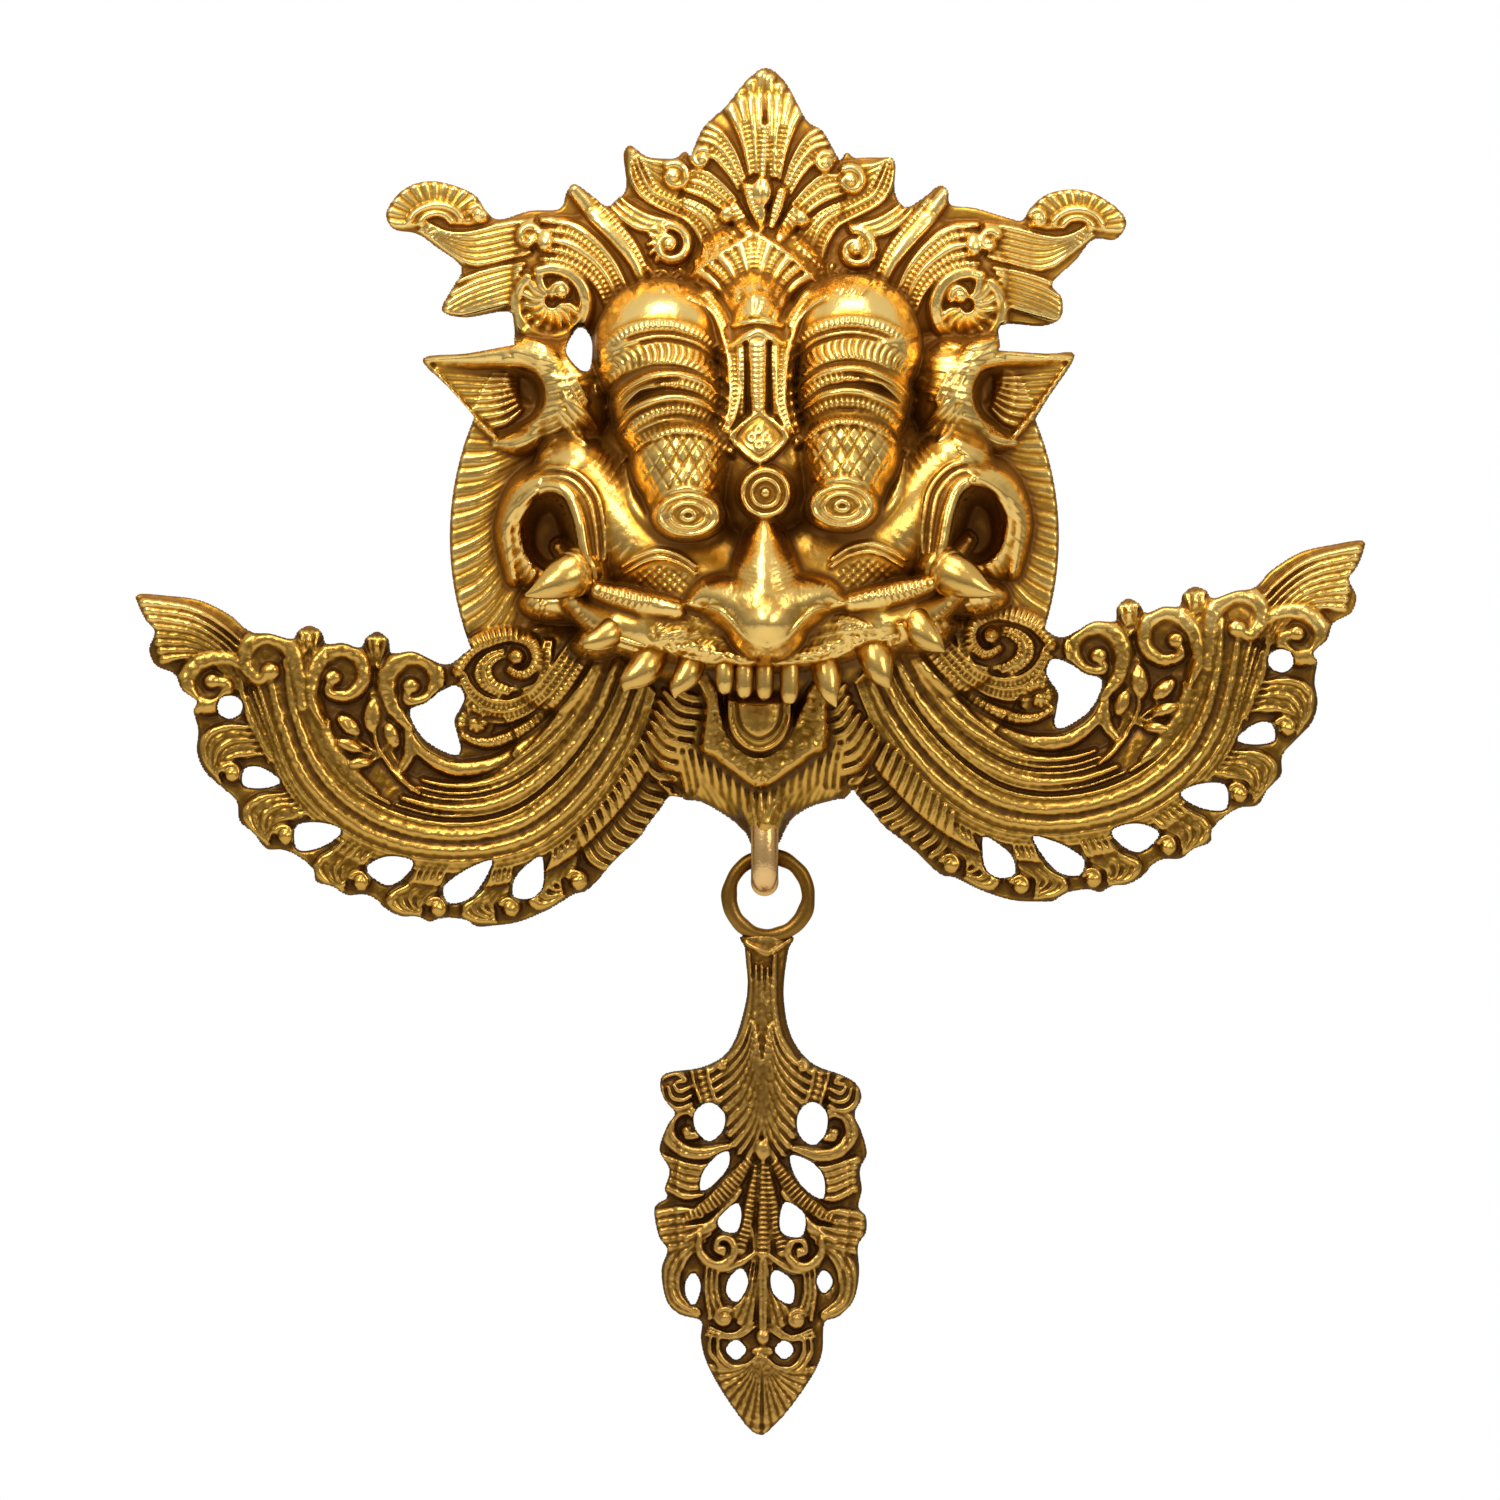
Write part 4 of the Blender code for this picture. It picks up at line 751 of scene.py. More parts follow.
def carve_cheek(art):
    """A cheek: its bulge, the ringed volute beside it, the cross-hatched lens and the roped roll."""
    art.ridge([(-56, -82), (-47, -92), (-36, -103), (-22, -110), (-8, -114)], (14, 17, 19, 17),
              (33, 39, 44, 48, 50), 26, soft=6)
    art.dome((-66, -98), 15, 20, 20, 16, soft=3)
    roll = [(-75.4, -113), (-76.8, -99), (-72.4, -89.4), (-64.8, -85.4), (-57, -88), (-52.6, -96),
            (-50.6, -108), (-49, -119)]
    art.ridge(roll, (4.0, 5.0, 5.6, 6.2, 6.0, 5.0), (13, 18, 24, 31, 36, 38, 39, 38), 20, soft=3)
    art.sink([(-73.8, -99), (-71.2, -92.2), (-65.4, -89), (-60.2, -91.6), (-57.4, -99), (-57.6, -106),
              (-62, -112), (-68, -112), (-73, -106.6)], 8, slope=5)
    art.ridge([(-73.4, -108), (-74.4, -98), (-71, -89.6), (-64.8, -86.2), (-59, -88.4), (-55.8, -95.6),
              (-54, -105), (-51.6, -115)], (1.6, 2.2, 2.4, 2.5, 2.4, 1.8),
              (14, 19.5, 26.5, 33, 38, 40.5, 41.5, 40), 5, soft=0.8)
    paths = [
        [(-77.4, -90), (-71.6, -82.8), (-64.3, -80.6), (-56.6, -82.2), (-50.6, -88.6), (-48.6, -98),
         (-48, -108)],
        [(-74.4, -87.4), (-69.4, -83.8), (-64.3, -82.8), (-58, -84.2), (-53, -89.8), (-51, -97.6),
         (-50, -108)],
    ]
    for path in paths:
        art.stroke(path, (0.6, 0.9, 0.9, 0.7), 1.2, 0.2)
    art.ridge([(-62, -104), (-58.4, -108.6), (-57, -114), (-58.6, -121)], (2.6, 3.4, 3.0),
              (26, 36, 38, 30), 12, soft=2)
    art.dome((-61, -121), 13, 6, 24, 16, soft=3)

    lens = [(-41, -114.4), (-32, -109.6), (-22.4, -114.6), (-31, -120.4)]
    win, depth = art.depth_inside(lens)
    x, z = art.x[win], art.z[win]
    art.relief[win] -= np.clip(depth, 0, 0.6) * np.clip((net(x, z, 2.9) - 0.3) / 0.14, 0, 1) * 1.4
    for lift in (0.0, 2.2):
        art.stroke([(-42.6 - 0.3 * lift, -112.4 + lift), (-37, -109 + lift), (-31.6, -107.6 + lift),
                   (-26, -109 + lift), (-21, -112.4 + lift)], (0.7, 1.0, 0.7), 1.3, 0.1)
    roll = [(-50, -117.4), (-43, -119.6), (-36, -121.4), (-27, -123)]
    art.ridge(roll, (3.0, 4.0, 4.0, 3.2), (43, 46.5, 50, 52), 5, soft=1.6)
    art.stroke(roll, (2.0, 3.0, 2.4), 1.0, 0.2, marks=crescents(1.9, 1.0, 0.35))
    art.ridge([(-55, -122), (-45, -127), (-35, -129.6), (-26, -131)], (5.0, 8.0, 8.6, 7.0),
              (35, 44, 47.5, 49), 12, soft=3)
    for drop in (0, 2.2):
        art.stroke([(-53, -127.6 - drop), (-45, -131.6 - drop), (-36, -134.4 - drop)], (0.6, 0.9, 0.6),
                   1.0, 0.1)
    art.dome((-49, -131.6), 8.2, 4.8, 38, 12, soft=2, turn=0.3)
    art.groove([(-31, -125), (-31.6, -130), (-30.6, -136)], (0.3, 0.8, 0.3), (0.8, 2.4, 0.8))


def carve_moustache(art):
    """Worn tufts at both sides under the nose."""
    for side in (LEFT, RIGHT):
        art.place = mirrored(side, -0.8) if side == RIGHT else lambda point: (point[0] - 0.8, point[1])
        art.band([[(-32, -127.6), (-27, -125.2), (-22, -124.6), (-14.6, -127)],
                 [(-31, -131.6), (-26, -129.6), (-20, -130.4), (-11.6, -132.2)],
                 [(-30.6, -135.6), (-25.4, -134.6), (-18, -136.2), (-8.6, -136.6)]], 7, 0.9, 0.1,
                 looks=(hatch(1.7, 0.35, 0.6), None), ends=(0.5, 1, 1, 0.6))
        art.rough([(-33, -126), (-22, -123), (-13, -126), (-8, -134), (-18, -137.6), (-32, -136.6)], 0.16,
                  0.9)
    art.place = tuple


def carve_lip(art):
    """The rough, ridged upper lip over the teeth."""
    art.ridge([(-34, -133.6), (-25, -135), (-13, -137), (0, -137.8), (13, -136.6), (25, -133.6),
              (33, -131)], (3.6, 4.2, 4.0, 3.4, 4.0, 4.2, 3.6), (42, 47, 50, 51, 50, 47, 43), 12, soft=2.5)
    edge = [(-30, -134.4), (-25, -137.6), (-16, -139.2), (-12, -138), (-7.4, -139.8), (-2, -139.2),
            (4, -140), (11, -138.6), (17, -138.8), (24, -135.8), (29, -133)]
    art.stroke(edge, (0.8, 1.2, 1.2, 0.8), 1.1, 0.2)
    art.stroke([(x, z + 2.4) for x, z in edge], (0.6, 0.9, 0.9, 0.6), 0.9, 0.2, marks=hatch(1.9, 0.5))
    art.rough([(-34, -128), (-14, -134.6), (0, -138), (14, -134.6), (33, -127), (32, -134), (16, -139.6),
              (0, -140.6), (-16, -140), (-33, -135.6)], 0.28, 1.0)


def carve_mouth(art):
    """The open mouth: its hollow, the tongue, the pointed lower lip and the beard."""
    chin = [(-40, -136), (36, -136), (40, -150), (32, -166), (25, -178.4), (21.5, -179.8), (15, -181.5),
            (9.5, -184.4), (6, -188.4), (4, -193), (0, -196), (-4, -194), (-6.2, -190), (-10, -186.3),
            (-15, -183), (-20, -180.4), (-26, -179), (-36, -168), (-44, -150)]
    art.plate(chin, CHIN_PLATE)
    art.dome((-1, -148), 38, 38, 21, 15, soft=4)
    art.ridge([(-0.8, -170), (-0.6, -177), (-0.5, -182.6), (-0.4, -187)], (15, 10, 7, 4.8),
              (17.4, 18, 19, 19.8), 9, soft=3)
    for k in range(BEARD_LOCKS):
        bow = 2 * k / (BEARD_LOCKS - 1) - 1
        start = (-1.6 + 25.5 * bow, -176.4 + 15 * abs(bow))
        end = (-1 + 22.5 * bow, -190 + 11.6 * abs(bow) ** 0.7)
        art.stroke([start, (0.4 * start[0] + 0.6 * end[0] - 0.4, 0.5 * (start[1] + end[1])), end],
                   (1.0, 1.5, 0.9), (2.4, 2.1, 0.8), 0.2)
    shield = [(-24, -138), (22, -138), (19.6, -150), (19.2, -163.6), (14, -167.6), (8.6, -171.4),
              (-1.6, -177.2), (-11, -171.8), (-16, -168), (-20.6, -164), (-19.4, -150)]
    art.lift(shield, 25.5, slope=2.2)
    art.stroke([(-20.4, -158), (-20.2, -164.2), (-11, -171.4), (-1.6, -176.8), (8.6, -171), (18.8, -164),
               (19, -158)], (0.9, 1.3, 1.3, 0.9), 2.0, 0.5)
    art.rough(shield, 0.14, 1.2)
    art.sink([(-17, -137), (15, -137), (13, -148), (9.6, -156), (5, -164), (-2, -167.6), (-9.4, -164),
             (-13.6, -156), (-15, -148)], 19.5, slope=2.6)
    art.ridge([(-2, -146), (-2, -152), (-2, -156.4)], (9.8, 10.2, 9.8), (23, 28.5, 29), 5, soft=1.2)
    art.stroke([(-11, -146), (-11.2, -155.4), (-8, -162.4), (-2, -165.4), (4, -162.4), (7.2, -155.4),
               (7, -146)], 1.0, 1.2, 0.2)
    art.groove([(-8.4, -147), (-8.4, -154.8), (-6.2, -159.4), (-2, -161.6), (2.2, -159.4), (4.4, -154.8),
               (4.4, -147)], 0.6, 0.9)


# Wings

WING = [
    (-188.8, -118.2), (-180, -118.6), (-170, -120), (-161, -124.4), (-155, -129.4), (-149, -130),
    (-142.5, -131.6), (-140.5, -129), (-137, -127.6), (-133.6, -129.4), (-132, -133), (-127, -132.8),
    (-122, -134.2), (-120, -131), (-116.6, -129.4), (-113.4, -131.8), (-112.4, -135.8), (-106, -135.4),
    (-100.6, -137.8), (-97, -139.2), (-94, -138.6), (-90, -135.4), (-84, -131.4), (-76, -129.4),
    (-48, -128), (-20, -150), (-20, -176), (-25, -179), (-29, -179), (-31.4, -182.4), (-35, -187),
    (-38, -191.4), (-43, -196), (-47, -200), (-50, -203.6), (-54, -207.4), (-57.6, -208.4),
    (-65, -212.8), (-74, -216.6), (-82, -217.8), (-87, -218), (-90.6, -216), (-97, -215.4), (-101, -216.6),
    (-105, -215), (-109.4, -215), (-114, -213), (-117.4, -209.8), (-121, -208.4), (-126, -208.6),
    (-130.4, -206), (-135.2, -204.6), (-136, -201), (-140, -197.4), (-145, -195), (-150.4, -194.6),
    (-154, -190), (-158.2, -186.4), (-159, -180.6), (-163.4, -176.4), (-168.6, -171.6), (-171, -165.6),
    (-170.6, -159), (-172, -153.4), (-171, -150.4), (-175.4, -147), (-177.8, -142.2), (-183.4, -139.6),
    (-185.4, -134.6), (-183.6, -129.4), (-186.4, -126), (-188.6, -121.6),
]
WING_HOLES = [
    [(-93, -145.6), (-90.6, -149), (-91.6, -152), (-93.6, -156), (-92.6, -161), (-91.8, -165),
     (-94, -166.4), (-101, -163), (-105.4, -158), (-106.8, -153), (-102, -150.8), (-98, -147.6)],
    [(-161, -148.6), (-157.6, -150.4), (-157.8, -153.6), (-161.4, -155.6), (-164.6, -153.4),
     (-164.2, -150)],
    [(-156.6, -170.8), (-152, -170.2), (-146, -174.4), (-151, -176.4), (-157, -175.6)],
    [(-141.2, -188), (-134, -186.8), (-127.6, -189.2), (-133, -193.8), (-140.6, -195)],
    [(-120, -201), (-116, -197.6), (-110.6, -197), (-106, -198.8), (-108.6, -203), (-114, -205.6)],
    [(-82.2, -198.6), (-88, -200), (-94, -203.6), (-97, -207), (-94.8, -211), (-88, -208.6)],
    [(-68, -197), (-66.8, -201.4), (-67.4, -206.6), (-71, -209.6), (-75.8, -208.8), (-75, -203)],
]
OUTER_RIB = [(-152.5, -146), (-148.5, -158), (-142.5, -173), (-133, -184.5), (-119, -193.6), (-102, -198),
             (-84, -198), (-68, -193.4), (-53, -181), (-41, -163), (-35, -146)]
MIDDLE_RIB = [(-140, -135), (-138.5, -150), (-133.5, -164), (-125.5, -175), (-113, -183), (-99, -186.6),
              (-84, -186.2), (-71, -181), (-58, -169), (-48, -154), (-42, -139)]
INNER_RIB = [(-112, -160), (-110, -164), (-107, -168), (-104, -170), (-100, -171), (-94, -172),
             (-86, -171.4), (-77, -168), (-66, -160), (-56, -148), (-50, -135)]

VOLUTES = (  # their lines, widths and beads
    ([(-139, -152), (-140.6, -141), (-143, -134), (-149.6, -130.8), (-155.4, -133.6), (-156.4, -139.4),
     (-152.6, -143.6), (-148.8, -141.4)], (1.6, 2.4, 2.6, 2.5, 2.2, 1.9, 1.6), 2.5),
    ([(-133, -157), (-136.6, -149), (-134.6, -139.4), (-128.4, -134.6), (-122, -137.4), (-121, -144),
     (-125.4, -148.6), (-131, -147.6), (-130, -143.2)], (1.0, 1.8, 2.4, 2.4, 2.2, 2.0, 1.6, 1.3), 2.2),
    ([(-107, -158), (-112.4, -151.4), (-113.6, -143), (-108.6, -137.4), (-101.6, -138.4), (-99, -144),
     (-102, -149.6), (-107.6, -150), (-106.6, -145.8)], (1.6, 2.2, 2.6, 2.6, 2.3, 2.0, 1.6, 1.3), 2.3),
    ([(-155, -141), (-162, -137.8), (-169.6, -138.6), (-173.8, -144), (-171.4, -150.4), (-164.6, -151),
     (-161.8, -145.6), (-166.4, -144.4)], (1.4, 2.0, 2.3, 2.4, 2.2, 1.9, 1.5), 2.2),
)
FRINGE = (  # each group of leaves: its outer and inner edge, and its bead
    ([(-153.6, -157.4), (-163, -157.2), (-169.4, -161), (-168.8, -168.6), (-163.6, -175)],
     [(-149.4, -167.4), (-154.6, -167), (-159, -167.4), (-163, -168.8), (-164.4, -172)], (-160.6, -172.2)),
    ([(-145, -177.4), (-152, -178.6), (-157, -182.6), (-155, -188.6), (-149.6, -193.6)],
     [(-136.4, -184.6), (-141, -185.4), (-144.6, -186), (-147.6, -187.4), (-148.4, -190.6)],
      (-144.6, -190.8)),
    ([(-126, -190.6), (-131.4, -195.6), (-136, -199.6), (-133.4, -204.4), (-127, -207.6)],
     [(-116.6, -195), (-119.6, -198.6), (-122.4, -200), (-125.4, -201.6), (-126, -204.6)], (-122, -204.6)),
    ([(-104.4, -198.6), (-108, -205.6), (-114, -209.6), (-110.4, -213.8), (-104, -215)],
     [(-94.6, -199.6), (-97.4, -205.4), (-100, -208), (-102.8, -210), (-103, -213)], (-98.8, -212.4)),
    ([(-82, -199), (-85.6, -208), (-92, -213.4), (-87.6, -216.6), (-81, -217)],
     [(-75.4, -199.6), (-76.4, -205.6), (-78.4, -208), (-81.4, -210), (-81.6, -213)], (-77, -212.6)),
    ([(-64.6, -195.6), (-66.6, -203), (-71.6, -211), (-66.6, -212.6), (-60.6, -209)],
     [(-56, -189.6), (-56.6, -195.6), (-57.6, -199), (-61, -201), (-61.6, -205)], (-56.8, -204.4)),
)
LAPPETS = {  # the edges of the short locks between beard and wing
    LEFT: ([(-28.4, -145), (-31.8, -150), (-36, -160.8), (-40.2, -167.4), (-43.2, -173.4),
    (-46.2, -178.2), (-49.6, -182.4), (-56, -189)],
    [(-17.6, -150), (-19.8, -156.6), (-24.6, -168), (-30, -178.2), (-33.6, -184.2), (-37.2, -189),
    (-40.8, -194.4), (-47, -200.4)]),
    RIGHT: ([(23.6, -146), (25.8, -151.8), (30.6, -157.2), (34.2, -162), (39, -165.6), (43.8, -170.4),
    (49.2, -177), (56, -184)], [(15.6, -151), (18, -159.6), (19.8, -164.4), (25.2, -174),
    (31.2, -180), (34.2, -185.4), (43.8, -190.8), (50, -196.4)]),
}


def wing_place(side):
    """Where a point of the left wing's drawing lies: the right wing is raised a little."""
    if side == LEFT:
        return tuple

    def place(point):
        x, z = -point[0], point[1] - WING_PIVOT_Z
        return (x * math.cos(WING_LIFT) - z * math.sin(WING_LIFT) - 2,
                x * math.sin(WING_LIFT) + z * math.cos(WING_LIFT) + WING_PIVOT_Z)

    return place


def between(first, second, share):
    """A line some way between two lines that have as many points."""
    return [(a[0] + (b[0] - a[0]) * share, a[1] + (b[1] - a[1]) * share) for a, b in zip(first, second)]


def carve_wing(art, side):
    """An openwork wing with long ribs, volutes on its upper edge and a fringe of leaves."""
    art.place = wing_place(side)
    hand = -side
    lift = math.degrees(WING_LIFT)

    def at(degrees):
        return turned(side, degrees, lift)

    art.plate(WING, PLATE - 1)
    win, depth = art.depth_inside(WING)
    art.relief[win] *= 1 - np.clip(depth / 1.5, 0, 1)
    art.ridge(between(OUTER_RIB, MIDDLE_RIB, 0.7), (12, 15, 17, 16),
              (PLATE + 1, PLATE + 2, PLATE + 4, PLATE + 7), 3.4, soft=2)
    art.dome((-76, -142), 22, 14, PLATE + 4, 5, soft=2)
    art.dome((-60, -140), 18, 14, PLATE + 9, 8, soft=4)

    ribs = ((-0.24, 0.8, 1.2), (-0.12, 0.8, 1.4), (0.0, 1.0, 1.7), (0.11, 0.7, 1.3), (0.27, 2.0, 2.3),
            (0.42, 0.7, 1.3), (0.52, 0.7, 1.2), (0.68, 2.2, 2.4), (0.86, 0.8, 1.4), (0.97, 0.9, 1.6))
    for share, width, rise in ribs:
        art.stroke(between(OUTER_RIB, MIDDLE_RIB, share), (0.8 * width, width, width, 0.8 * width), rise,
                   0.4)
    for share in (0.06, 0.47):
        art.stroke(between(OUTER_RIB, MIDDLE_RIB, share), 0.6, 0.9, 0.2, marks=beads(1.3, 0.6))
    for share, width, rise in ((0.14, 0.8, 1.5), (0.3, 2.0, 2.3), (0.47, 0.7, 1.3), (0.6, 0.8, 1.4),
                               (0.76, 1.7, 2.2)):
        path = between(MIDDLE_RIB, INNER_RIB, share)[4:]
        art.stroke(path, (0.5 * width, width, width, 0.8 * width), rise, 0.4)
    art.stroke([(-106.5, -161), (-103.6, -165.4), (-97, -169.6), (-90, -170.8), (-80, -168.8),
               (-70, -162.4), (-60, -153), (-52, -142), (-48, -132)], (1.8, 2.8, 2.6, 2.2, 1.6),
               (2.2, 2.8, 2.6, 2.0), 0.7)
    art.stroke([(-108, -158), (-107, -166), (-110, -172), (-107, -176)], (1.2, 2.2, 1.8, 1.0), 2.0, 0.7)

    for line, widths, eye in VOLUTES:
        art.ball(np.mean(line[3:], axis=0), 6.8, 6.4, 1.5, power=0.15)
        art.stroke(line, tuple(1.42 * width for width in widths), 2.6, (0.6, 1.3),
                   marks=rim(0.35, 0.78, 0.14))
        art.ball(line[-1], 1.3 * eye, 1.2 * eye, 2.8, 1.7)
    art.stroke([(-171.6, -144.6), (-168.6, -148.6), (-164.6, -147.4)], (0.8, 1.0, 0.8), 1.4, 0.8)
    art.band([[(-140, -137), (-139.4, -150), (-133.8, -164), (-126, -174)],
             [(-134, -152), (-131, -160), (-126.4, -168), (-121, -175)]], 3, 1.6, 0.3,
             looks=(None, beads(1.4, 0.5)), ends=(0.6, 1, 0.8))
    art.band([[(-119, -146), (-119.4, -156), (-117, -165), (-110, -174)],
             [(-114.6, -152), (-113.6, -160), (-111, -167), (-107, -173)]], 2, 1.4, 0.2,
             looks=(beads(1.4, 0.5), None))
    art.stroke([(-157, -140), (-157.6, -147), (-154.4, -157), (-149, -168)], (1.2, 1.5, 1.2), 1.8, 0.4)
    for x, z in ((-137, -132.4), (-116.8, -134.2)):
        art.band([[(x - 0.8, z - 6), (x - 2.6, z - 1), (x - 3.4, z + 2.6)],
                 [(x + 0.8, z - 6), (x + 2.6, z - 1), (x + 3.4, z + 2.6)]], 4, 1.8, 0.6,
                 ends=(0.5, 1, 1.1))
        art.ball((x, z + 0.6), 1.4, 2.2, 1.8, 1.6)
    leaves = [
        ((-118.2, -154.6), (2.5, 4.8), 0.1),
        ((-125.2, -157.6), (3.9, 2.3), 0.75),
        ((-124.8, -163.6), (3.8, 2.0), 0.35),
        ((-121.8, -168.8), (3.4, 1.8), -0.05),
        ((-112.4, -160.6), (2.2, 3.9), -0.35),
    ]
    for centre, (rx, rz), turn in leaves:
        art.ball(centre, 1.2 * rx, 1.15 * rz, 2.6, 0.8, turn=side * turn, power=0.45)
    art.stroke([(-117.6, -158), (-116.6, -164), (-111, -172), (-104, -178)], (0.8, 1.0, 1.2, 0.8), 1.8,
               0.9)
    for tip in ((-123, -161.6), (-122, -165.6), (-119.4, -168.6), (-113.2, -162)):
        art.stroke([tip, (-115.6, -167)], (0.6, 0.7), 1.4, 0.7)

    art.band([[(-151, -141), (-157.6, -131), (-171, -122), (-187.4, -119.6)],
             [(-156, -146), (-161, -138), (-171, -131), (-183.6, -129)],
             [(-158.4, -147.6), (-164, -141.4), (-171, -137.6), (-180.6, -139)]], 8, 2.0, 0.4,
             ends=(0.5, 0.8, 1, 1))

    art.stroke([(-134, -154), (-131, -163), (-125, -171), (-117, -178)], (1.6, 2.6, 2.4, 1.2), 1.9, 0.3)
    art.stroke([(-131.4, -156), (-129.8, -165), (-123.4, -174.6), (-113, -181)], (0.8, 1.3, 1.3, 0.8),
               1.6, 0.3)
    for outer, inner, ball in FRINGE:
        art.band([outer, inner], 5, (1.4, 2.2, 2.2, 1.8), 0.3, looks=(None, midrib(0.35, 0.2)),
                 ends=(0.35, 1.1, 1.1, 0.75))
        art.scroll(ball, 4.4, at(150), 1.0, 1.3, 2.2, 0.8, -hand, eye=0.5)

    carve_inner_scroll(art, at(200), hand)
    art.rough(WING, 0.08, 0.8)
    art.place = tuple
    inner, outer = (resampled(edge, LAPPET_LOCKS) for edge in LAPPETS[side])
    for a, b in zip(inner, outer):
        middle = (a[0] + 0.42 * (b[0] - a[0]), a[1] + 0.70 * (b[1] - a[1]) - 0.6)
        art.stroke([a, middle, b], (1.1, 1.75, 1.75, 1.3), (1.8, 2.2, 1.4), 0.9, marks=midrib(0.5, 0.2),
                   bed=True)
    art.place = wing_place(side)
    for hole in WING_HOLES:
        art.cut(hole)
    art.place = tuple


def carve_inner_scroll(art, start, hand):
    """The beaded volute and curls beside the jaw."""
    art.band([[(-93.4, -146), (-89, -153.6), (-81, -157.4), (-71, -154.6), (-62, -146), (-54, -134)],
             [(-90, -141.6), (-86.6, -147), (-80, -149.8), (-72.4, -147.8), (-66, -141.6), (-59, -132)]],
             5, 1.9, 0.5, looks=(None, CUTS), ends=(0.9, 1, 1, 0.9))
    art.band([[(-80.4, -149.6), (-86.4, -145.6), (-87.6, -140), (-83.6, -135.6), (-78.6, -134.2)],
             [(-74.6, -146.4), (-80, -145.2), (-82.4, -141.4), (-80.6, -138.6), (-78, -137.6)]], 3, 1.8,
             0.3, looks=(SHALLOW_CUTS, None), ends=(0.9, 1, 1, 0.7))
    art.band([[(-73.4, -150), (-68, -146.6), (-64.6, -140.4), (-63.6, -132)],
             [(-73, -146), (-69, -144.2), (-67.6, -139), (-67, -132)]], 3, 1.7, 0.3,
             looks=(None, SHALLOW_CUTS))
    art.stroke([(-92.6, -141.4), (-89, -134.8), (-82.6, -131.2), (-75.8, -130.2), (-70, -133),
               (-69, -138.8), (-72.6, -142.4), (-77, -141)], (1.8, 2.7, 2.9, 2.7, 2.3, 1.9, 1.5), 2.5,
               0.9, marks=hatch(1.7, 0.7, inner=0.8))
    art.ball((-75, -137), 2.6, 2.6, 2.5, 1.8)
    art.stroke([(-92, -160), (-86, -162.6), (-79, -161.8), (-70, -157), (-62, -149), (-53, -136)],
               (1.4, 2.1, 2.1, 1.9, 1.5), 2.2, 0.8, marks=beads(1.9, 0.9))
    art.ball((-87.6, -156.6), 6.2, 5.8, 1.4, 0.0, power=0.15)
    art.scroll((-87.6, -156.8), 6.2, start, 1.1, 2.2, 2.4, 0.9, -hand, marks=hatch(1.5, 0.7, inner=0.9),
               eye=0.34)


# Pendant

DROP = [
    (7.6, -220.6), (6.8, -224.8), (6.0, -229.6), (5.4, -235), (5.4, -240), (6.4, -247), (8.4, -252.4),
    (12, -257.4), (16.5, -260.4), (22, -262.2), (27, -265), (28.7, -269.4), (26.6, -274.4), (28.5, -279),
    (30.3, -286), (28.2, -291), (28.8, -297), (27.8, -302), (30, -305), (30, -310), (27.6, -314),
    (28, -322), (26.4, -330), (22, -335), (17.6, -337), (17, -345), (15.3, -350.4), (11, -357.4),
    (5, -365.2), (0.4, -369.7), (-1.6, -370.6), (-5, -368.9), (-9.4, -363.2), (-14.4, -355.6),
    (-18.2, -348), (-19.6, -341.6), (-19.6, -336.4), (-26, -334.4), (-30, -330), (-31.4, -321),
    (-29.6, -315), (-32.2, -311), (-33.5, -302.4), (-29.8, -299.4), (-30.4, -296.6), (-29, -291),
    (-32, -285), (-29.6, -277.6), (-27.4, -274), (-30.4, -270), (-31.8, -265.6), (-30, -262),
    (-20, -260.4), (-13, -257), (-9.5, -252.2), (-7.4, -246), (-5.8, -239), (-5.5, -234), (-6.0, -229),
    (-6.4, -224.4), (-7.0, -220.6),
]
DROP_HOLES = [
    [(-17, -270.8), (-12.6, -274), (-13, -279), (-17, -282.4), (-21, -279), (-21.4, -274)],
    [(14, -270.6), (18.2, -274), (17.8, -280), (14, -283.6), (9.8, -280), (9.8, -274)],
    [(-11.4, -285.6), (-11.4, -290), (-16, -295.6), (-19.6, -297), (-19, -292), (-15, -287)],
    [(7.6, -286.6), (14, -289), (17.4, -293.6), (17, -299.6), (12, -297), (8.4, -292)],
    [(-9, -301), (-7.4, -304.6), (-9, -309.6), (-13.2, -309), (-14.2, -305.6)],
    [(6.2, -300.6), (11.6, -304.6), (10.6, -311), (5, -310), (4.2, -305)],
    [(-21.6, -322), (-19.6, -326), (-21.6, -331.6), (-24, -328.6), (-24, -324.6)],
    [(17.4, -321.2), (20, -324.5), (17.5, -328), (15.2, -324.5)],
    [(-7.4, -320.6), (-5.4, -325), (-8.6, -330.6), (-11.8, -328), (-11, -323.6)],
    [(3.4, -321.2), (8.2, -325), (7.6, -331.2), (2.6, -328.6), (1.4, -323.4)],
    [(-9, -342), (-6, -345), (-9, -348), (-12, -345)],
    [(5.5, -342.2), (8.3, -345), (5.5, -347.8), (2.7, -345)],
]


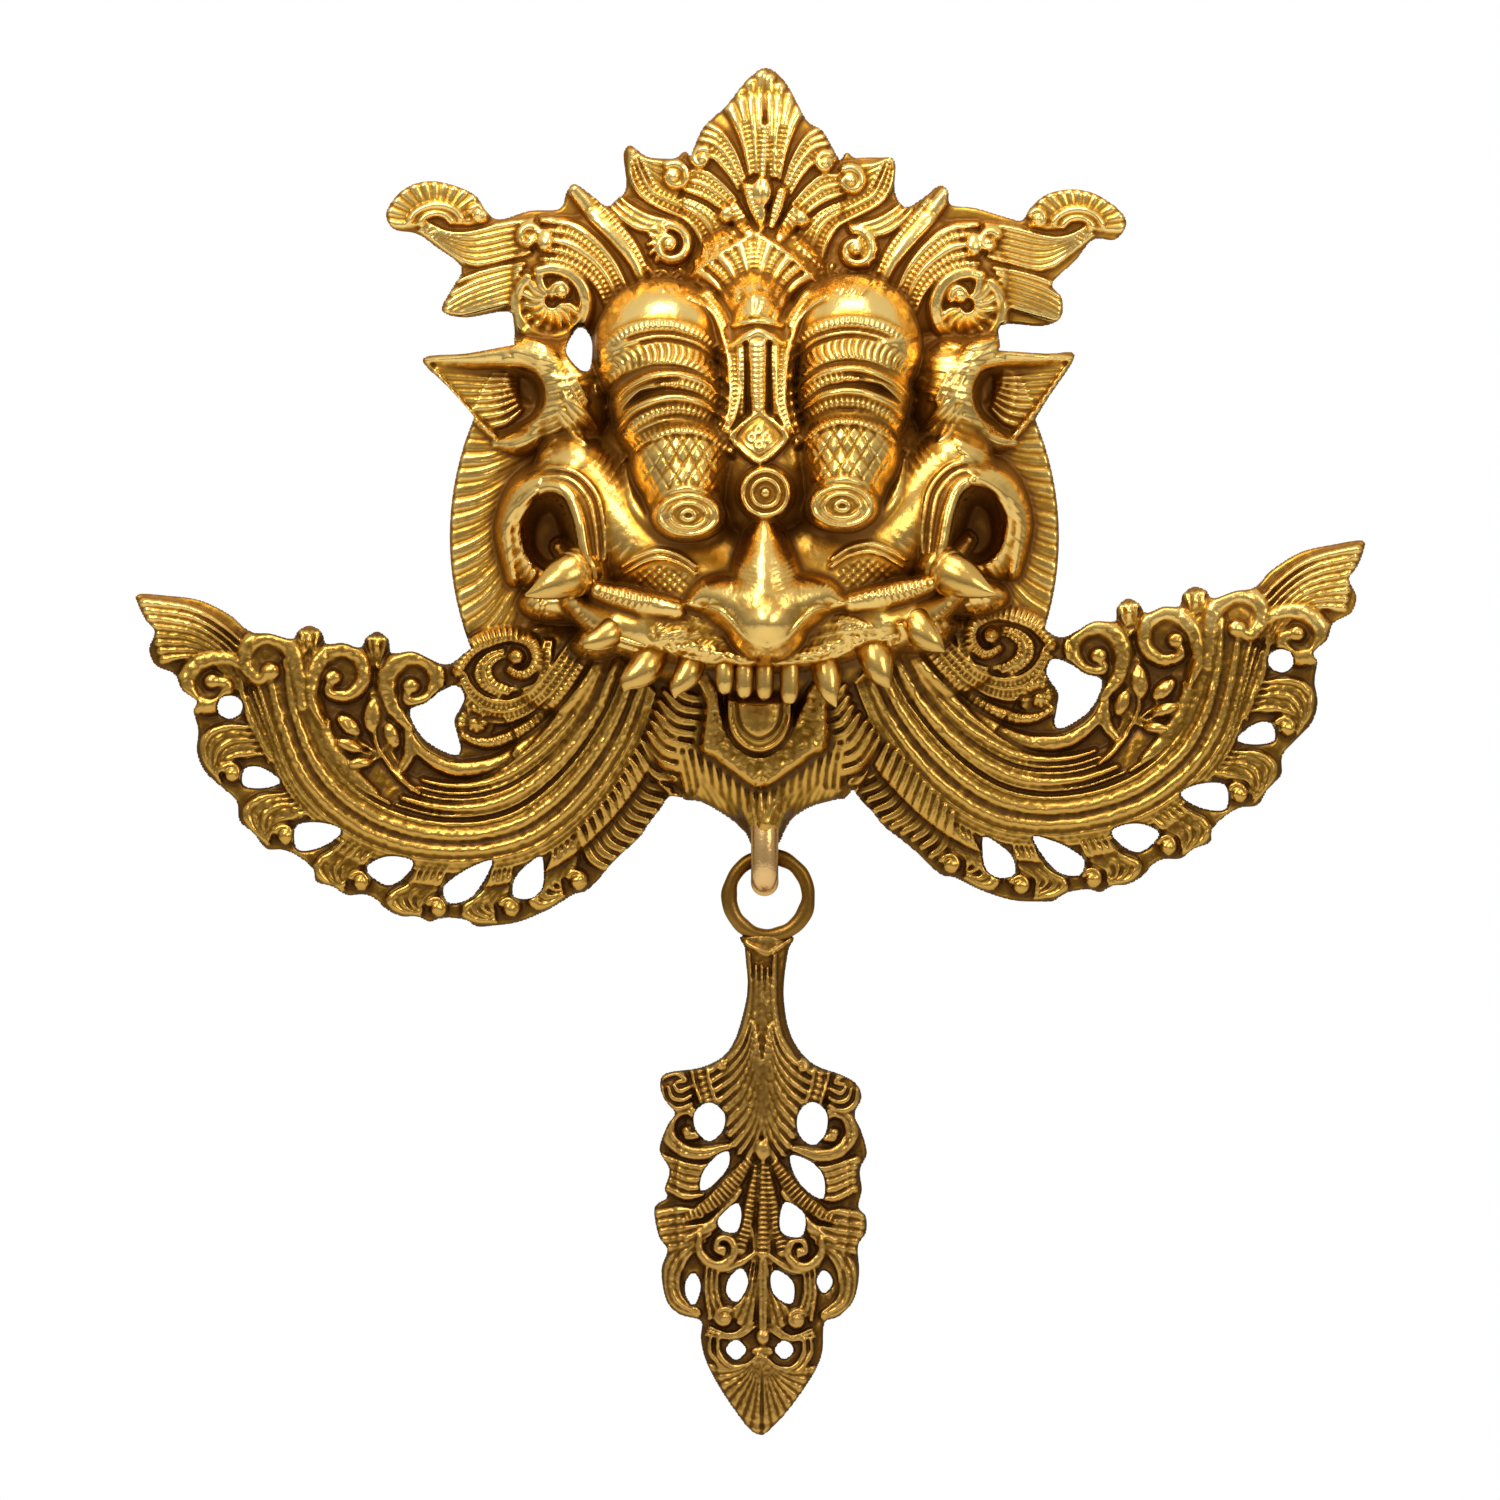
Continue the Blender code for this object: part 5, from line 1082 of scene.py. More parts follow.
def carve_drop(art, plate):
    """The openwork leaf of the pendant."""
    art.plate(DROP, plate)
    art.dome((-1, -300), 26, 50, plate + 2.2, 2.2, soft=2)
    art.dome((-1, -345), 14, 22, plate + 1.8, 1.8, soft=2)
    art.dome((-0.4, -246), 7.5, 40, plate + 2.6, 4.0, soft=2)
    art.dome((-0.8, -266), 12, 24, plate + 3.2, 3.2, soft=2)
    cuts = hatch(1.5, 0.8, inner=0.85)
    for side in (LEFT, RIGHT):
        hand = -side
        art.place = mirrored(side, -2.4, -0.6, 0.955)
        for shift, width, look in ((-2.3, 0.9, None), (0, 1.5, beads(1.9, 1.0)), (2.3, 0.9, None)):
            art.stroke([(shift - 20.0, -260.4), (shift - 19.2, -265), (shift - 17.4, -270)], width, 1.8,
                       1.0, marks=look)
        art.ball((-27.0, -267), 5.2, 5.8, 2.0, 0.3, power=0.35)
        curls = [
            [(-31.2, -266), (-30.4, -270.4), (-26.4, -272.6), (-22.4, -271)],
            [(-29.4, -266), (-28, -269.2), (-25, -270), (-22.4, -268.6)],
            [(-27.6, -265.6), (-26, -267.4), (-22.8, -266)],
            [(-30.8, -263.4), (-27, -261.9), (-24.2, -264), (-26.8, -264.6)],
        ]
        for curl in curls:
            art.stroke(curl, (0.7, 1.1, 0.8), 1.4, 1.9)
        art.scroll((-13.8, -259.4), 2.6, turned(side, 90), 1.0, 1.0, 1.6, 1.4, -hand)
        art.stroke([(-11.4, -284), (-18.6, -286), (-25, -285), (-29, -280.4), (-28.2, -275.2),
                   (-23.8, -273), (-19.8, -275.8), (-20.4, -280), (-23.6, -280.8)],
                   (1.4, 2.3, 2.4, 2.3, 2.0, 1.8, 1.5), 2.3, 0.6, marks=midrib(0.4, 0.2))
        art.ball((-24, -279.2), 1.7, 1.7, 2.0, 1.2)
        art.band([[(-10.6, -285.4), (-19, -289.4), (-31.4, -286.4)],
                 [(-15.6, -293), (-22.4, -294), (-29.6, -291.4)],
                 [(-19.6, -299.6), (-24.4, -300.4), (-30.4, -297.4)]], 5, 1.8, 0.3, ends=(0.4, 1.1, 1.1))
        art.stroke([(-4.8, -287.6), (-9.2, -293.6), (-14.2, -299.2), (-20, -303.4), (-24.6, -306)],
                   (1.5, 2.6, 2.8, 2.3, 1.3), 2.4, 0.8, marks=cuts)
        art.stroke([(-7.6, -297), (-12, -303), (-17, -308), (-24, -311.6)], (0.9, 1.8, 2.2, 1.4), 1.9, 0.5)
        art.band([[(-20, -302), (-26, -301.6), (-32.6, -303)],
                 [(-18, -307), (-24, -308.4), (-31.6, -309.6)],
                 [(-16, -311), (-22, -314), (-29.4, -315.6)]], 5, 1.8, 0.3, ends=(0.4, 1.1, 1.1))
        art.stroke([(-19, -312), (-25.4, -316.4), (-28.4, -323), (-27, -330), (-21, -334)],
                   (1.6, 3.0, 3.4, 3.0, 1.8), 1.9, 0.3, marks=flutes(3, 0.5))
        art.stroke([(-3.0, -289), (-4.2, -298), (-5.8, -307), (-7.8, -315)], (1.0, 1.8, 2.2, 2.2), 2.0,
                   0.5, marks=cuts)
        art.stroke([(-4.8, -306), (-3.6, -312), (-3.4, -318)], (0.5, 1.0, 1.0), 1.4, 0.3)
        art.stroke([(-19, -318.6), (-13.4, -320.6), (-8, -319), (-3.6, -316)], (1.0, 1.6, 1.6, 1.0), 1.8,
                   0.5)
        art.stroke([(-20, -311), (-19.6, -316), (-15.6, -319.4), (-11.4, -318.4), (-9.4, -315),
                   (-11, -311.6), (-14, -311.6), (-15, -314.6), (-12.8, -316)],
                   (1.2, 1.8, 1.9, 1.7, 1.4, 1.2), 2.3, 0.8)
        art.ball((-13, -314.8), 1.6, 1.6, 2.0, 1.2)
        art.band([[(-18.6, -320), (-18.8, -327), (-17.4, -336)],
                 [(-13.6, -320.6), (-14, -327), (-12.4, -332)]], 3, 1.7, 0.3)
        art.band([[(-4.6, -318), (-6.6, -326), (-10.4, -333)],
                 [(-1.6, -318), (-2.6, -329), (-4.6, -339.6)]], 3, 1.7, 0.3, ends=(0.4, 1, 1.1))
        art.scroll((-12.4, -335.2), 4.0, turned(side, 60), 1.3, 1.4, 2.0, 0.9, hand, eye=0.42)
        art.band([[(-4, -335), (-10, -339.6), (-16.6, -337.6)], [(-3, -338.6), (-9, -342), (-18, -341)]],
                 3, 1.6, 0.3)
        art.band([[(-1.2, -345.6), (-1.4, -356), (-1.6, -369.6)],
                 [(-1.8, -346.4), (-5.4, -353.4), (-11.4, -360.6)],
                 [(-2.6, -346), (-9, -350.4), (-17.6, -349)]], 8, 1.6, 0.3, ends=(0.35, 0.9, 1, 1))
        for out, width in ((0.0, 1.2), (2.2, 0.9)):
            art.stroke([(-14.4 - out, -341), (-14.2 - out, -346), (-10.4 - 0.6 * out, -350 - 0.5 * out),
                       (-5, -349)], (0.7 * width, width, width, 0.5 * width), 1.6, 0.4)
        leaves = ([(-5.0, -246), (-8.0, -252.6), (-12.4, -257), (-17, -259.8)],
                  [(-3.6, -247), (-5.4, -255), (-9.8, -261.4), (-15.8, -265.6)],
                  [(-2.8, -249), (-4.4, -259), (-7.8, -266.4), (-13.2, -271.4)],
                  [(-1.9, -254), (-3.2, -265), (-6.2, -273), (-11.4, -278.6)],
                  [(-1.2, -259), (-2.2, -271), (-4.6, -279), (-9, -284.8)],
                  [(-0.8, -264), (-1.1, -276), (-2.2, -283), (-4.4, -288)])
        for outer, inner in zip(leaves, leaves[1:]):
            art.band([outer, inner], 2, 2.0, 0.4, fill=0.54, ends=(0.3, 0.8, 1.05, 0.85))
        art.stroke([(-5.2, -226), (-4.9, -240), (-6.8, -249.6), (-11, -256)], (0.7, 1.0, 1.0, 0.5), 1.2,
                   0.5)
        art.band([[(-3.9, -229.6), (-3.8, -238), (-4.2, -249)],
                 [(-0.5, -229.6), (-0.5, -240), (-0.8, -268)]], 2, 1.0, 0.5, fill=0.44, ends=(0.7, 1, 0.6))
        art.place = tuple
    art.stroke([(-0.9, -288), (-0.9, -302), (-0.9, -316)], (1.1, 1.8, 2.2), 2.1, 0.8, marks=cuts)
    art.ball((-0.9, -285), 2.6, 3.4, 2.0, 1.6)
    art.stroke([(-0.9, -318), (-0.9, -328), (-0.9, -338)], (1.6, 1.9, 1.6), 2.0, 0.7,
               marks=midrib(0.5, 0.25))
    art.ball((-0.9, -345.4), 3.6, 1.9, 1.2, 0.4)
    art.ball((-0.9, -341), 2.3, 2.7, 2.0, 0.9)
    art.rough(DROP, 0.07, 0.8)
    for hole in DROP_HOLES:
        art.cut(hole)


# From drawing to mesh

def heights(art):
    """The finished front surface: form and relief, softened a little, with worn edges."""
    field = art.form + art.relief
    draws = np.random.default_rng(11)
    for reach, depth in WEAR:
        rough = blurred(draws.standard_normal(field.shape), 0.5 * reach / art.pitch)
        field = field + depth * rough / rough.std()
    around = np.pad(field, 1, mode="edge")
    beside = around[:-2, 1:-1] + around[2:, 1:-1] + around[1:-1, :-2] + around[1:-1, 2:]
    corners = around[:-2, :-2] + around[:-2, 2:] + around[2:, :-2] + around[2:, 2:]
    field = (4 * field + 2 * beside + corners) / 16
    near = np.clip(1 - np.clip(art.inside, 0, None) / EDGE_ROUND, 0, 1)
    worn = np.minimum(EDGE_ROUND, 0.45 * field)
    return field - worn * (1 - np.sqrt(1 - near ** 2))


# The brass paints by this level: bright on ridges, part polish and part painted highlight, and brown in
# creases, part patina and part painted shade.
def hollows(art, field):
    """How deep each node lies below its surroundings, from -1 on ridges to 1 in creases."""
    solid = (art.inside > 0).astype(float)
    found = np.zeros_like(field)
    for reach, gain in CREASES:
        cells = reach / art.pitch
        weight = np.maximum(blurred(solid, cells), 0.05)
        found += gain * (blurred(field * solid, cells) / weight - field)
    return np.clip(found, -1, 1)


def hollow_behind(art, field):
    """How far the room behind the face reaches in front of the back plane at each node."""
    room = np.zeros_like(field)
    for cx, cz, rx, depth, rz in ROOMS:
        q = ((art.x - cx) / rx) ** 2 + ((art.z - cz) / rz) ** 2
        wall = 2.6 * (1 - np.sqrt(q)) * min(rx, rz)
        room = np.maximum(room, np.minimum(depth * np.sqrt(np.clip(1 - q, 0, 1)), wall))
    return np.minimum(room, np.maximum(field - HOLLOW_WALL, 0))


def snapped(art, keep):
    """The grid's nodes, with those next to an outline moved onto it, and which ones are kept."""
    slope_z, slope_x = np.gradient(art.inside, art.pitch)
    slope = np.maximum(np.hypot(slope_x, slope_z), 0.3)
    border = np.abs(art.inside) / slope < 0.5 * art.pitch
    shift = np.clip(art.inside / slope, -0.9 * art.pitch, 0.9 * art.pitch)
    move = np.where(border, shift / slope, 0)
    return art.x - slope_x * move, art.z - slope_z * move, keep & ((art.inside > 0) | border)


def unit_normals(field, pitch, facing):
    """Normals of a surface of heights, whose front faces -1 and whose rear faces 1 along Y."""
    slope_z, slope_x = np.gradient(field, pitch)
    normals = np.stack([facing * slope_x, np.full_like(field, facing), facing * slope_z], axis=-1)
    return normals / np.linalg.norm(normals, axis=-1, keepdims=True)


def open_edges(corners, count):
    """The edges that belong to one four-sided face only."""
    edges = np.concatenate([corners[:, [k, (k + 1) % 4]] for k in range(4)])
    low, high = np.sort(edges, axis=1).T
    _, first, times = np.unique(low * np.int64(count) + high, return_index=True, return_counts=True)
    return edges[first[times == 1]]


def rear_side(art, use, quads, back, low, lines):
    """The rear side's points after those of its rim, which grid nodes they are, and its faces."""
    deep = (art.inside > 2.0) & (blurred(use.astype(float), 4) > 0.999)
    lattice = np.zeros_like(deep)
    lattice[::REAR_STEP, ::REAR_STEP] = True
    curved = blurred((np.abs(back - back.min()) > 0.01).astype(float), 4) > 0.001
    lattice[::CURVED_STEP, ::CURVED_STEP] |= curved[::CURVED_STEP, ::CURVED_STEP]
    pick = deep & lattice
    rear = np.vstack([low, np.stack([art.x[pick], -back[pick], art.z[pick]], axis=1)])
    flat = [Vector(point) for point in rear[:, [0, 2]]]
    found, _, faces, origin, _, _ = geometry.delaunay_2d_cdt(flat, lines, [], 0, 1e-5)
    faces = np.array([face for face in faces if len(face) == 3])
    middle = np.array([tuple(point) for point in found])[faces].mean(axis=1)
    column = np.clip(((middle[:, 0] - art.x0) / art.pitch).astype(int), 0, use.shape[1] - 2)
    row = np.clip(((middle[:, 1] - art.z0) / art.pitch).astype(int), 0, use.shape[0] - 2)
    source = np.array([sources[0] if sources else -1 for sources in origin])
    faces = source[faces[quads[row, column]]]
    faces = faces[(faces >= 0).all(axis=1)]
    a, b, c = (rear[faces[:, k]] for k in range(3))
    facing = np.cross(b - a, c - a)[:, 1] > 0
    return rear, pick, np.where(facing[:, None], faces, faces[:, ::-1])


def smooth_mesh(name, points, faces, normals):
    """A mesh of faces with three or four corners, with a normal given for each corner."""
    loops = np.concatenate([part.ravel() for part in faces])
    sizes = np.concatenate([np.full(len(part), part.shape[1]) for part in faces])
    mesh = bpy.data.meshes.new(name)
    mesh.vertices.add(len(points))
    mesh.vertices.foreach_set("co", (points * MM).ravel())
    mesh.loops.add(len(loops))
    mesh.loops.foreach_set("vertex_index", loops.astype(np.int32))
    mesh.polygons.add(len(sizes))
    mesh.polygons.foreach_set("loop_start", np.concatenate([[0], np.cumsum(sizes)[:-1]]).astype(np.int32))
    mesh.update(calc_edges=True)
    mesh.polygons.foreach_set("use_smooth", np.ones(len(sizes), bool))
    mesh.normals_split_custom_set(normals.tolist())
    return mesh


def sheet_piece(name, art, field, creases, keep, back, material, node, tone=None):
    """Turns the kept part of a sheet into a closed mesh; back holds its rear side's heights."""
    x, z, use = snapped(art, keep)
    quads = use[:-1, :-1] & use[1:, :-1] & use[:-1, 1:] & use[1:, 1:]
    index = np.arange(use.size).reshape(use.shape)
    corners = np.stack([index[:-1, :-1][quads], index[:-1, 1:][quads], index[1:, 1:][quads],
                        index[1:, :-1][quads]], axis=1)
    used = np.unique(corners)
    count = len(used)
    numbers = np.full(use.size, -1)
    numbers[used] = np.arange(count)
    corners = numbers[corners]
    front = np.stack([x.ravel()[used], -field.ravel()[used], z.ravel()[used]], axis=1)

    rim_edges = open_edges(corners, count)
    rim_nodes = np.unique(rim_edges)
    below = np.full(count, -1)
    below[rim_nodes] = count + np.arange(len(rim_nodes))
    low = front[rim_nodes].copy()
    low[:, 1] = -back.ravel()[used][rim_nodes]
    walls = np.stack([rim_edges[:, 1], rim_edges[:, 0], below[rim_edges[:, 0]], below[rim_edges[:, 1]]],
                     axis=1)
    lines = [(int(a - count), int(b - count)) for a, b in walls[:, 2:]]
    rear, pick, back_faces = rear_side(art, use, quads, back, low, lines)
    points = np.vstack([front, rear])

    front_normals = unit_normals(field, art.pitch, -1).reshape(-1, 3)[used]
    rear_normals = unit_normals(back, art.pitch, 1)
    rear_normals = np.vstack([rear_normals.reshape(-1, 3)[used][rim_nodes], rear_normals[pick]])
    run = points[walls[:, 1]] - points[walls[:, 0]]
    wall_normals = np.stack([run[:, 2], np.zeros(len(run)), -run[:, 0]], axis=1)
    wall_normals /= np.maximum(np.linalg.norm(wall_normals, axis=1, keepdims=True), 1e-9)
    mesh = smooth_mesh(name, points, (corners, walls, back_faces + count), np.concatenate(
        [front_normals[corners.ravel()], np.repeat(wall_normals, 4, axis=0),
         rear_normals[back_faces.ravel()]]))
    for label, values, behind in (("crease", creases, 0.35), ("tone", tone, 1.0)):
        if values is not None:
            layer = mesh.attributes.new(label, "FLOAT", "POINT")
            value = np.concatenate([values.ravel()[used], np.full(len(rear), behind)])
            layer.data.foreach_set("value", value.astype(np.float32))
    return dress(name, mesh, material, node)


def dress(name, mesh, material, node):
    """Makes an object of a mesh, gives it its finish, hangs it on the root body and hides the part it stands
    in for.
    """
    piece = bpy.data.objects.new(name, mesh)
    bpy.context.scene.collection.objects.link(piece)
    mesh.materials.append(material)
    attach(piece, "root")
    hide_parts(node)
    return piece


def bar_mesh(rows, sides=24):
    """A closed round bar through points (x, height, z, radius), with rounded ends."""
    line = smooth(rows, 8)
    centre = np.stack([line[:, 0], -line[:, 1], line[:, 2]], axis=1)
    radius = line[:, 3]
    run = np.gradient(centre, axis=0)
    run /= np.linalg.norm(run, axis=1, keepdims=True)
    across = np.cross(run, (0.0, 1.0, 0.0))
    weak = np.linalg.norm(across, axis=1) < 1e-3
    across[weak] = (1.0, 0.0, 0.0)
    across /= np.linalg.norm(across, axis=1, keepdims=True)
    for k in range(1, len(across)):
        if across[k] @ across[k - 1] < 0:
            across[k] = -across[k]
    up = np.cross(across, run)
    angle = np.arange(sides) / sides * TAU
    rings = centre[:, None] + radius[:, None, None] * (
        np.cos(angle)[None, :, None] * across[:, None] + np.sin(angle)[None, :, None] * up[:, None])
    first = centre[0] - run[0] * radius[0] * 0.5
    last = centre[-1] + run[-1] * radius[-1] * 0.8
    points = np.vstack([rings.reshape(-1, 3), first, last])
    faces = ring_faces(len(line) - 1, sides)
    end = (len(line) - 1) * sides
    for j in range(sides):
        faces.append((len(points) - 2, (j + 1) % sides, j))
        faces.append((len(points) - 1, end + j, end + (j + 1) % sides))
    return points, faces


def ring_faces(count, sides, closed=False):
    """The faces between rings of points, which are numbered ring by ring."""
    faces = []
    for k in range(count):
        after = (k + 1) % count if closed else k + 1
        for j in range(sides):
            beside = (j + 1) % sides
            faces.append((k * sides + j, k * sides + beside, after * sides + beside, after * sides + j))
    return faces


def merged(name, parts, material, node, crease=-0.2):
    """One piece from several closed meshes."""
    points, faces, start = [], [], 0
    for part_points, part_faces in parts:
        points.append(part_points)
        faces += [tuple(i + start for i in face) for face in part_faces]
        start += len(part_points)
    points = np.vstack(points)
    mesh = bpy.data.meshes.new(name)
    mesh.from_pydata((points * MM).tolist(), [], faces)
    mesh.shade_smooth()
    layer = mesh.attributes.new("crease", "FLOAT", "POINT")
    layer.data.foreach_set("value", np.full(len(points), crease, np.float32))
    mesh.update()
    return dress(name, mesh, material, node)


# Brass

def brass(name, polish_and_highlight, middle, patina_and_shade, shine=0.24, dull=0.5, toned=None):
    """Cast brass: ridges bright with polish and painted highlight, creases brown with patina and painted
    shade, and a faint hand-worked grain.
    """
    material = bpy.data.materials.new(name)
    material.use_nodes = True
    nodes, links = material.node_tree.nodes, material.node_tree.links
    shader = nodes["Principled BSDF"]

    def add(kind, **values):
        node = nodes.new(kind)
        for key, value in values.items():
            setattr(node, key, value)
        return node

    def math_node(operation, a, b):
        node = add("ShaderNodeMath", operation=operation)
        for socket, value in zip(node.inputs, (a, b)):
            if isinstance(value, (int, float)):
                socket.default_value = value
            else:
                links.new(value, socket)
        return node.outputs[0]

    def clouds(scale, detail):
        node = add("ShaderNodeTexNoise")
        node.inputs["Scale"].default_value = scale
        node.inputs["Detail"].default_value = detail
        links.new(place.outputs["Object"], node.inputs["Vector"])
        return node.outputs["Fac"]

    def ranged(value, low, high, first, last, target):
        node = add("ShaderNodeMapRange")
        links.new(value, node.inputs["Value"])
        for key, bound in (("From Min", low), ("From Max", high), ("To Min", first), ("To Max", last)):
            node.inputs[key].default_value = bound
        links.new(node.outputs["Result"], target)

    crease = add("ShaderNodeAttribute", attribute_name="crease")
    place = add("ShaderNodeTexCoord")
    stain = clouds(55, 4)
    grain = clouds(900, 3)
    # Painted shade: ambient occlusion darkens the colour where nearby surfaces shut a point in.
    occlusion = add("ShaderNodeAmbientOcclusion", samples=5)
    occlusion.inputs["Distance"].default_value = 0.007

    painted_occlusion_shade = math_node("MULTIPLY", math_node("SUBTRACT", occlusion.outputs["AO"], 0.62), -0.95)
    depth = math_node("ADD", crease.outputs["Fac"], painted_occlusion_shade)
    depth = math_node("ADD", depth, math_node("MULTIPLY", math_node("SUBTRACT", stain, 0.5), 0.5))
    place_on_ramp = math_node("ADD", math_node("MULTIPLY", depth, 0.5), 0.5)

    # From ridge to crease: the bright colour is part polish and part painted highlight, the brown and dark
    # part patina and part painted shade.
    def ramp_of(light, mid, deep):
        ramp = add("ShaderNodeValToRGB")
        links.new(place_on_ramp, ramp.inputs["Fac"])
        brown = tuple(0.5 * (m + d) for m, d in zip(mid, deep))
        stops = ((0.12, light), (0.42, mid), (0.62, brown), (0.86, deep))
        while len(ramp.color_ramp.elements) < len(stops):
            ramp.color_ramp.elements.new(0.5)
        for element, (position, colour) in zip(ramp.color_ramp.elements, stops):
            element.position = position
            element.color = (*colour, 1)
        return ramp.outputs["Color"]

    colour = ramp_of(polish_and_highlight, middle, patina_and_shade)
    if toned:
        tone = add("ShaderNodeAttribute", attribute_name="tone")
        mix = add("ShaderNodeMix", data_type="RGBA")
        links.new(tone.outputs["Fac"], mix.inputs["Factor"])
        links.new(colour, mix.inputs["A"])
        links.new(ramp_of(*toned), mix.inputs["B"])
        colour = mix.outputs["Result"]
    links.new(colour, shader.inputs["Base Color"])
    ranged(depth, -0.5, 0.6, shine, dull, shader.inputs["Roughness"])
    ranged(depth, -0.1, 0.7, 1.0, 0.5, shader.inputs["Metallic"])
    shader.inputs["Specular Tint"].default_value = (1.0, 0.80, 0.45, 1)
    shader.inputs["Coat Weight"].default_value = 0.06
    shader.inputs["Coat Roughness"].default_value = 0.16
    bump = add("ShaderNodeBump")
    bump.inputs["Strength"].default_value = 0.22
    bump.inputs["Distance"].default_value = 0.0004
    links.new(grain, bump.inputs["Height"])
    links.new(bump.outputs["Normal"], shader.inputs["Normal"])
    return material


# Each finish gives bright, middle and dark colours: the bright is part polish and part painted highlight,
# the dark part patina and part painted shade.
POLISHED = ((0.97, 0.68, 0.22), (0.70, 0.35, 0.038), (0.24, 0.088, 0.006))
DULLED = ((0.58, 0.33, 0.065), (0.22, 0.102, 0.008), (0.08, 0.028, 0.002))
MASK_BRASS = brass("mask_brass", *POLISHED, toned=DULLED)
TOOTH_BRASS = brass("tooth_brass", (0.80, 0.53, 0.15), (0.42, 0.205, 0.022), (0.16, 0.055, 0.004))
PENDANT_BRASS = brass("pendant_brass", (0.52, 0.30, 0.072), (0.165, 0.070, 0.005), (0.06, 0.02, 0.001),
                      0.3, 0.55)
COPPERY_BRASS = brass("hook_brass", (0.86, 0.58, 0.26), (0.56, 0.29, 0.07), (0.2, 0.075, 0.016), 0.26, 0.5)


def make_mask():
    """Carves the mask's sheet and cuts it into pieces."""
    art = Sheet(-191, 183, -220, 42, PITCH)
    carve_disc(art)
    for side in (LEFT, RIGHT):
        carve_wing(art, side)
    carve_flame(art)
    for side in (LEFT, RIGHT):
        carve_horn(art, side)
    carve_palmette(art)
    for side in (LEFT, RIGHT):
        carve_ear(art, side)
    carve_mouth(art)
    carve_face(art)
    art.cut(EAR_GAP)
    field = heights(art)
    x, z = art.x, art.z
    creases = hollows(art, field)
    # 0 is polished and 1 is dull: the wings and the beard are dull, and all below the brow a little darker.
    tone = np.maximum((-133 - z) / 9, np.minimum((-126 - z) / 4, (np.abs(x + 1) - 46) / 12))
    tone = np.clip(np.maximum(tone, 0.38 * np.clip((-44 - z) / 10, 0, 1)), 0, 1)
    room = hollow_behind(art, field)
    face = np.abs(x - CENTRE_X) <= FACE_HALF
    left = x <= CENTRE_X - FACE_HALF + SEAM
    right = x >= CENTRE_X + FACE_HALF - SEAM
    below = z <= CREST_FOOT
    regions = {
        "crest": z >= CREST_FOOT,
        "face_upper": below & (z >= EYES_FOOT) & face,
        "face_lower": (z <= EYES_FOOT) & face,
        "side_left": below & left & (z >= LEFT_WING_TOP),
        "side_right": below & right & (z >= RIGHT_WING_TOP),
        "wing_left": (z <= LEFT_WING_TOP) & left,
        "wing_right": (z <= RIGHT_WING_TOP) & right,
    }
    for name, keep in regions.items():
        sheet_piece(name, art, field, creases, keep, room, MASK_BRASS, "mask", tone)


def make_teeth():
    """Tusks, fangs, front teeth: round bars that stand clear of the mouth."""
    parts = []
    for side, (shift, lift) in ((LEFT, (0, 0)), (RIGHT, (-3, 0.4))):
        rows = [(-53, 32, -110.4, 6.8), (-58.6, 38, -112.8, 6.6), (-63.6, 41.4, -115.6, 5.0),
                (-68.4, 43, -117.8, 2.4), (-71.8, 43.6, -118.8, 0.4)]
        rings = [[(-54.6, 34, -111, 7.4), (-56.2, 35.8, -111.7, 7.4)],
                 [(-57.2, 36.8, -112.2, 7.2), (-58.2, 37.8, -112.6, 7.0)]]
        for bar in (rows, *rings):
            parts.append(bar_mesh([(side * (-x + shift), height, z + lift, radius) for x, height, z,
                         radius in bar]))
    fangs = (((-34, -136.6), (-42.4, -147.4), 5.2), ((-21.6, -137), (-27.2, -149.4), 4.4),
             ((31.6, -134), (36.8, -146.4), 5.2), ((17, -137), (20.8, -152), 4.6),
             ((-45, -128.6), (-54.4, -134.8), 4.4), ((44, -126.4), (53.2, -135.6), 5.0))
    for root, tip, radius in fangs:
        parts.append(bar_mesh([(root[0], 40, root[1], radius),
                     (0.7 * root[0] + 0.3 * tip[0], 43, 0.6 * root[1] + 0.4 * tip[1], 0.95 * radius),
                     (0.25 * root[0] + 0.75 * tip[0] - 0.6, 45, 0.25 * root[1] + 0.75 * tip[1],
                     0.6 * radius), (tip[0], 45, tip[1], 0.4)]))
    for x, low in ((-12.2, -147.4), (-6.4, -148.6), (-0.4, -149.0), (7.0, -150.4)):
        parts.append(bar_mesh([(x, 44, -136, 2.7), (x, 46, -140.6, 3.0), (x - 0.1, 46.6, low + 2.4, 2.7),
                               (x - 0.3, 45.8, low, 1.8)]))
    return merged("teeth", parts, TOOTH_BRASS, "mask")


def make_hook():
    """The hook under the chin, round the ring's bar."""
    middle = (HOOK_FRONT + HOOK_BACK) / 2
    rows = [(9, -180, HOOK_BAR), (HOOK_FRONT - 2, HOOK_LOW + 18, HOOK_BAR),
            (HOOK_FRONT, HOOK_LOW + 9, HOOK_BAR), (HOOK_FRONT - 1.2, HOOK_LOW + 1.6, HOOK_BAR),
            (middle, HOOK_LOW - 0.8, HOOK_BAR), (HOOK_BACK + 0.8, HOOK_LOW + 2.8, 0.7 * HOOK_BAR),
            (HOOK_BACK, HOOK_LOW + 8, HOOK_TIP), (HOOK_BACK, HOOK_LOW + 16, HOOK_TIP)]
    merged("hook", [bar_mesh([(HOOK_X, *row) for row in rows], 32)], COPPERY_BRASS, "mask")


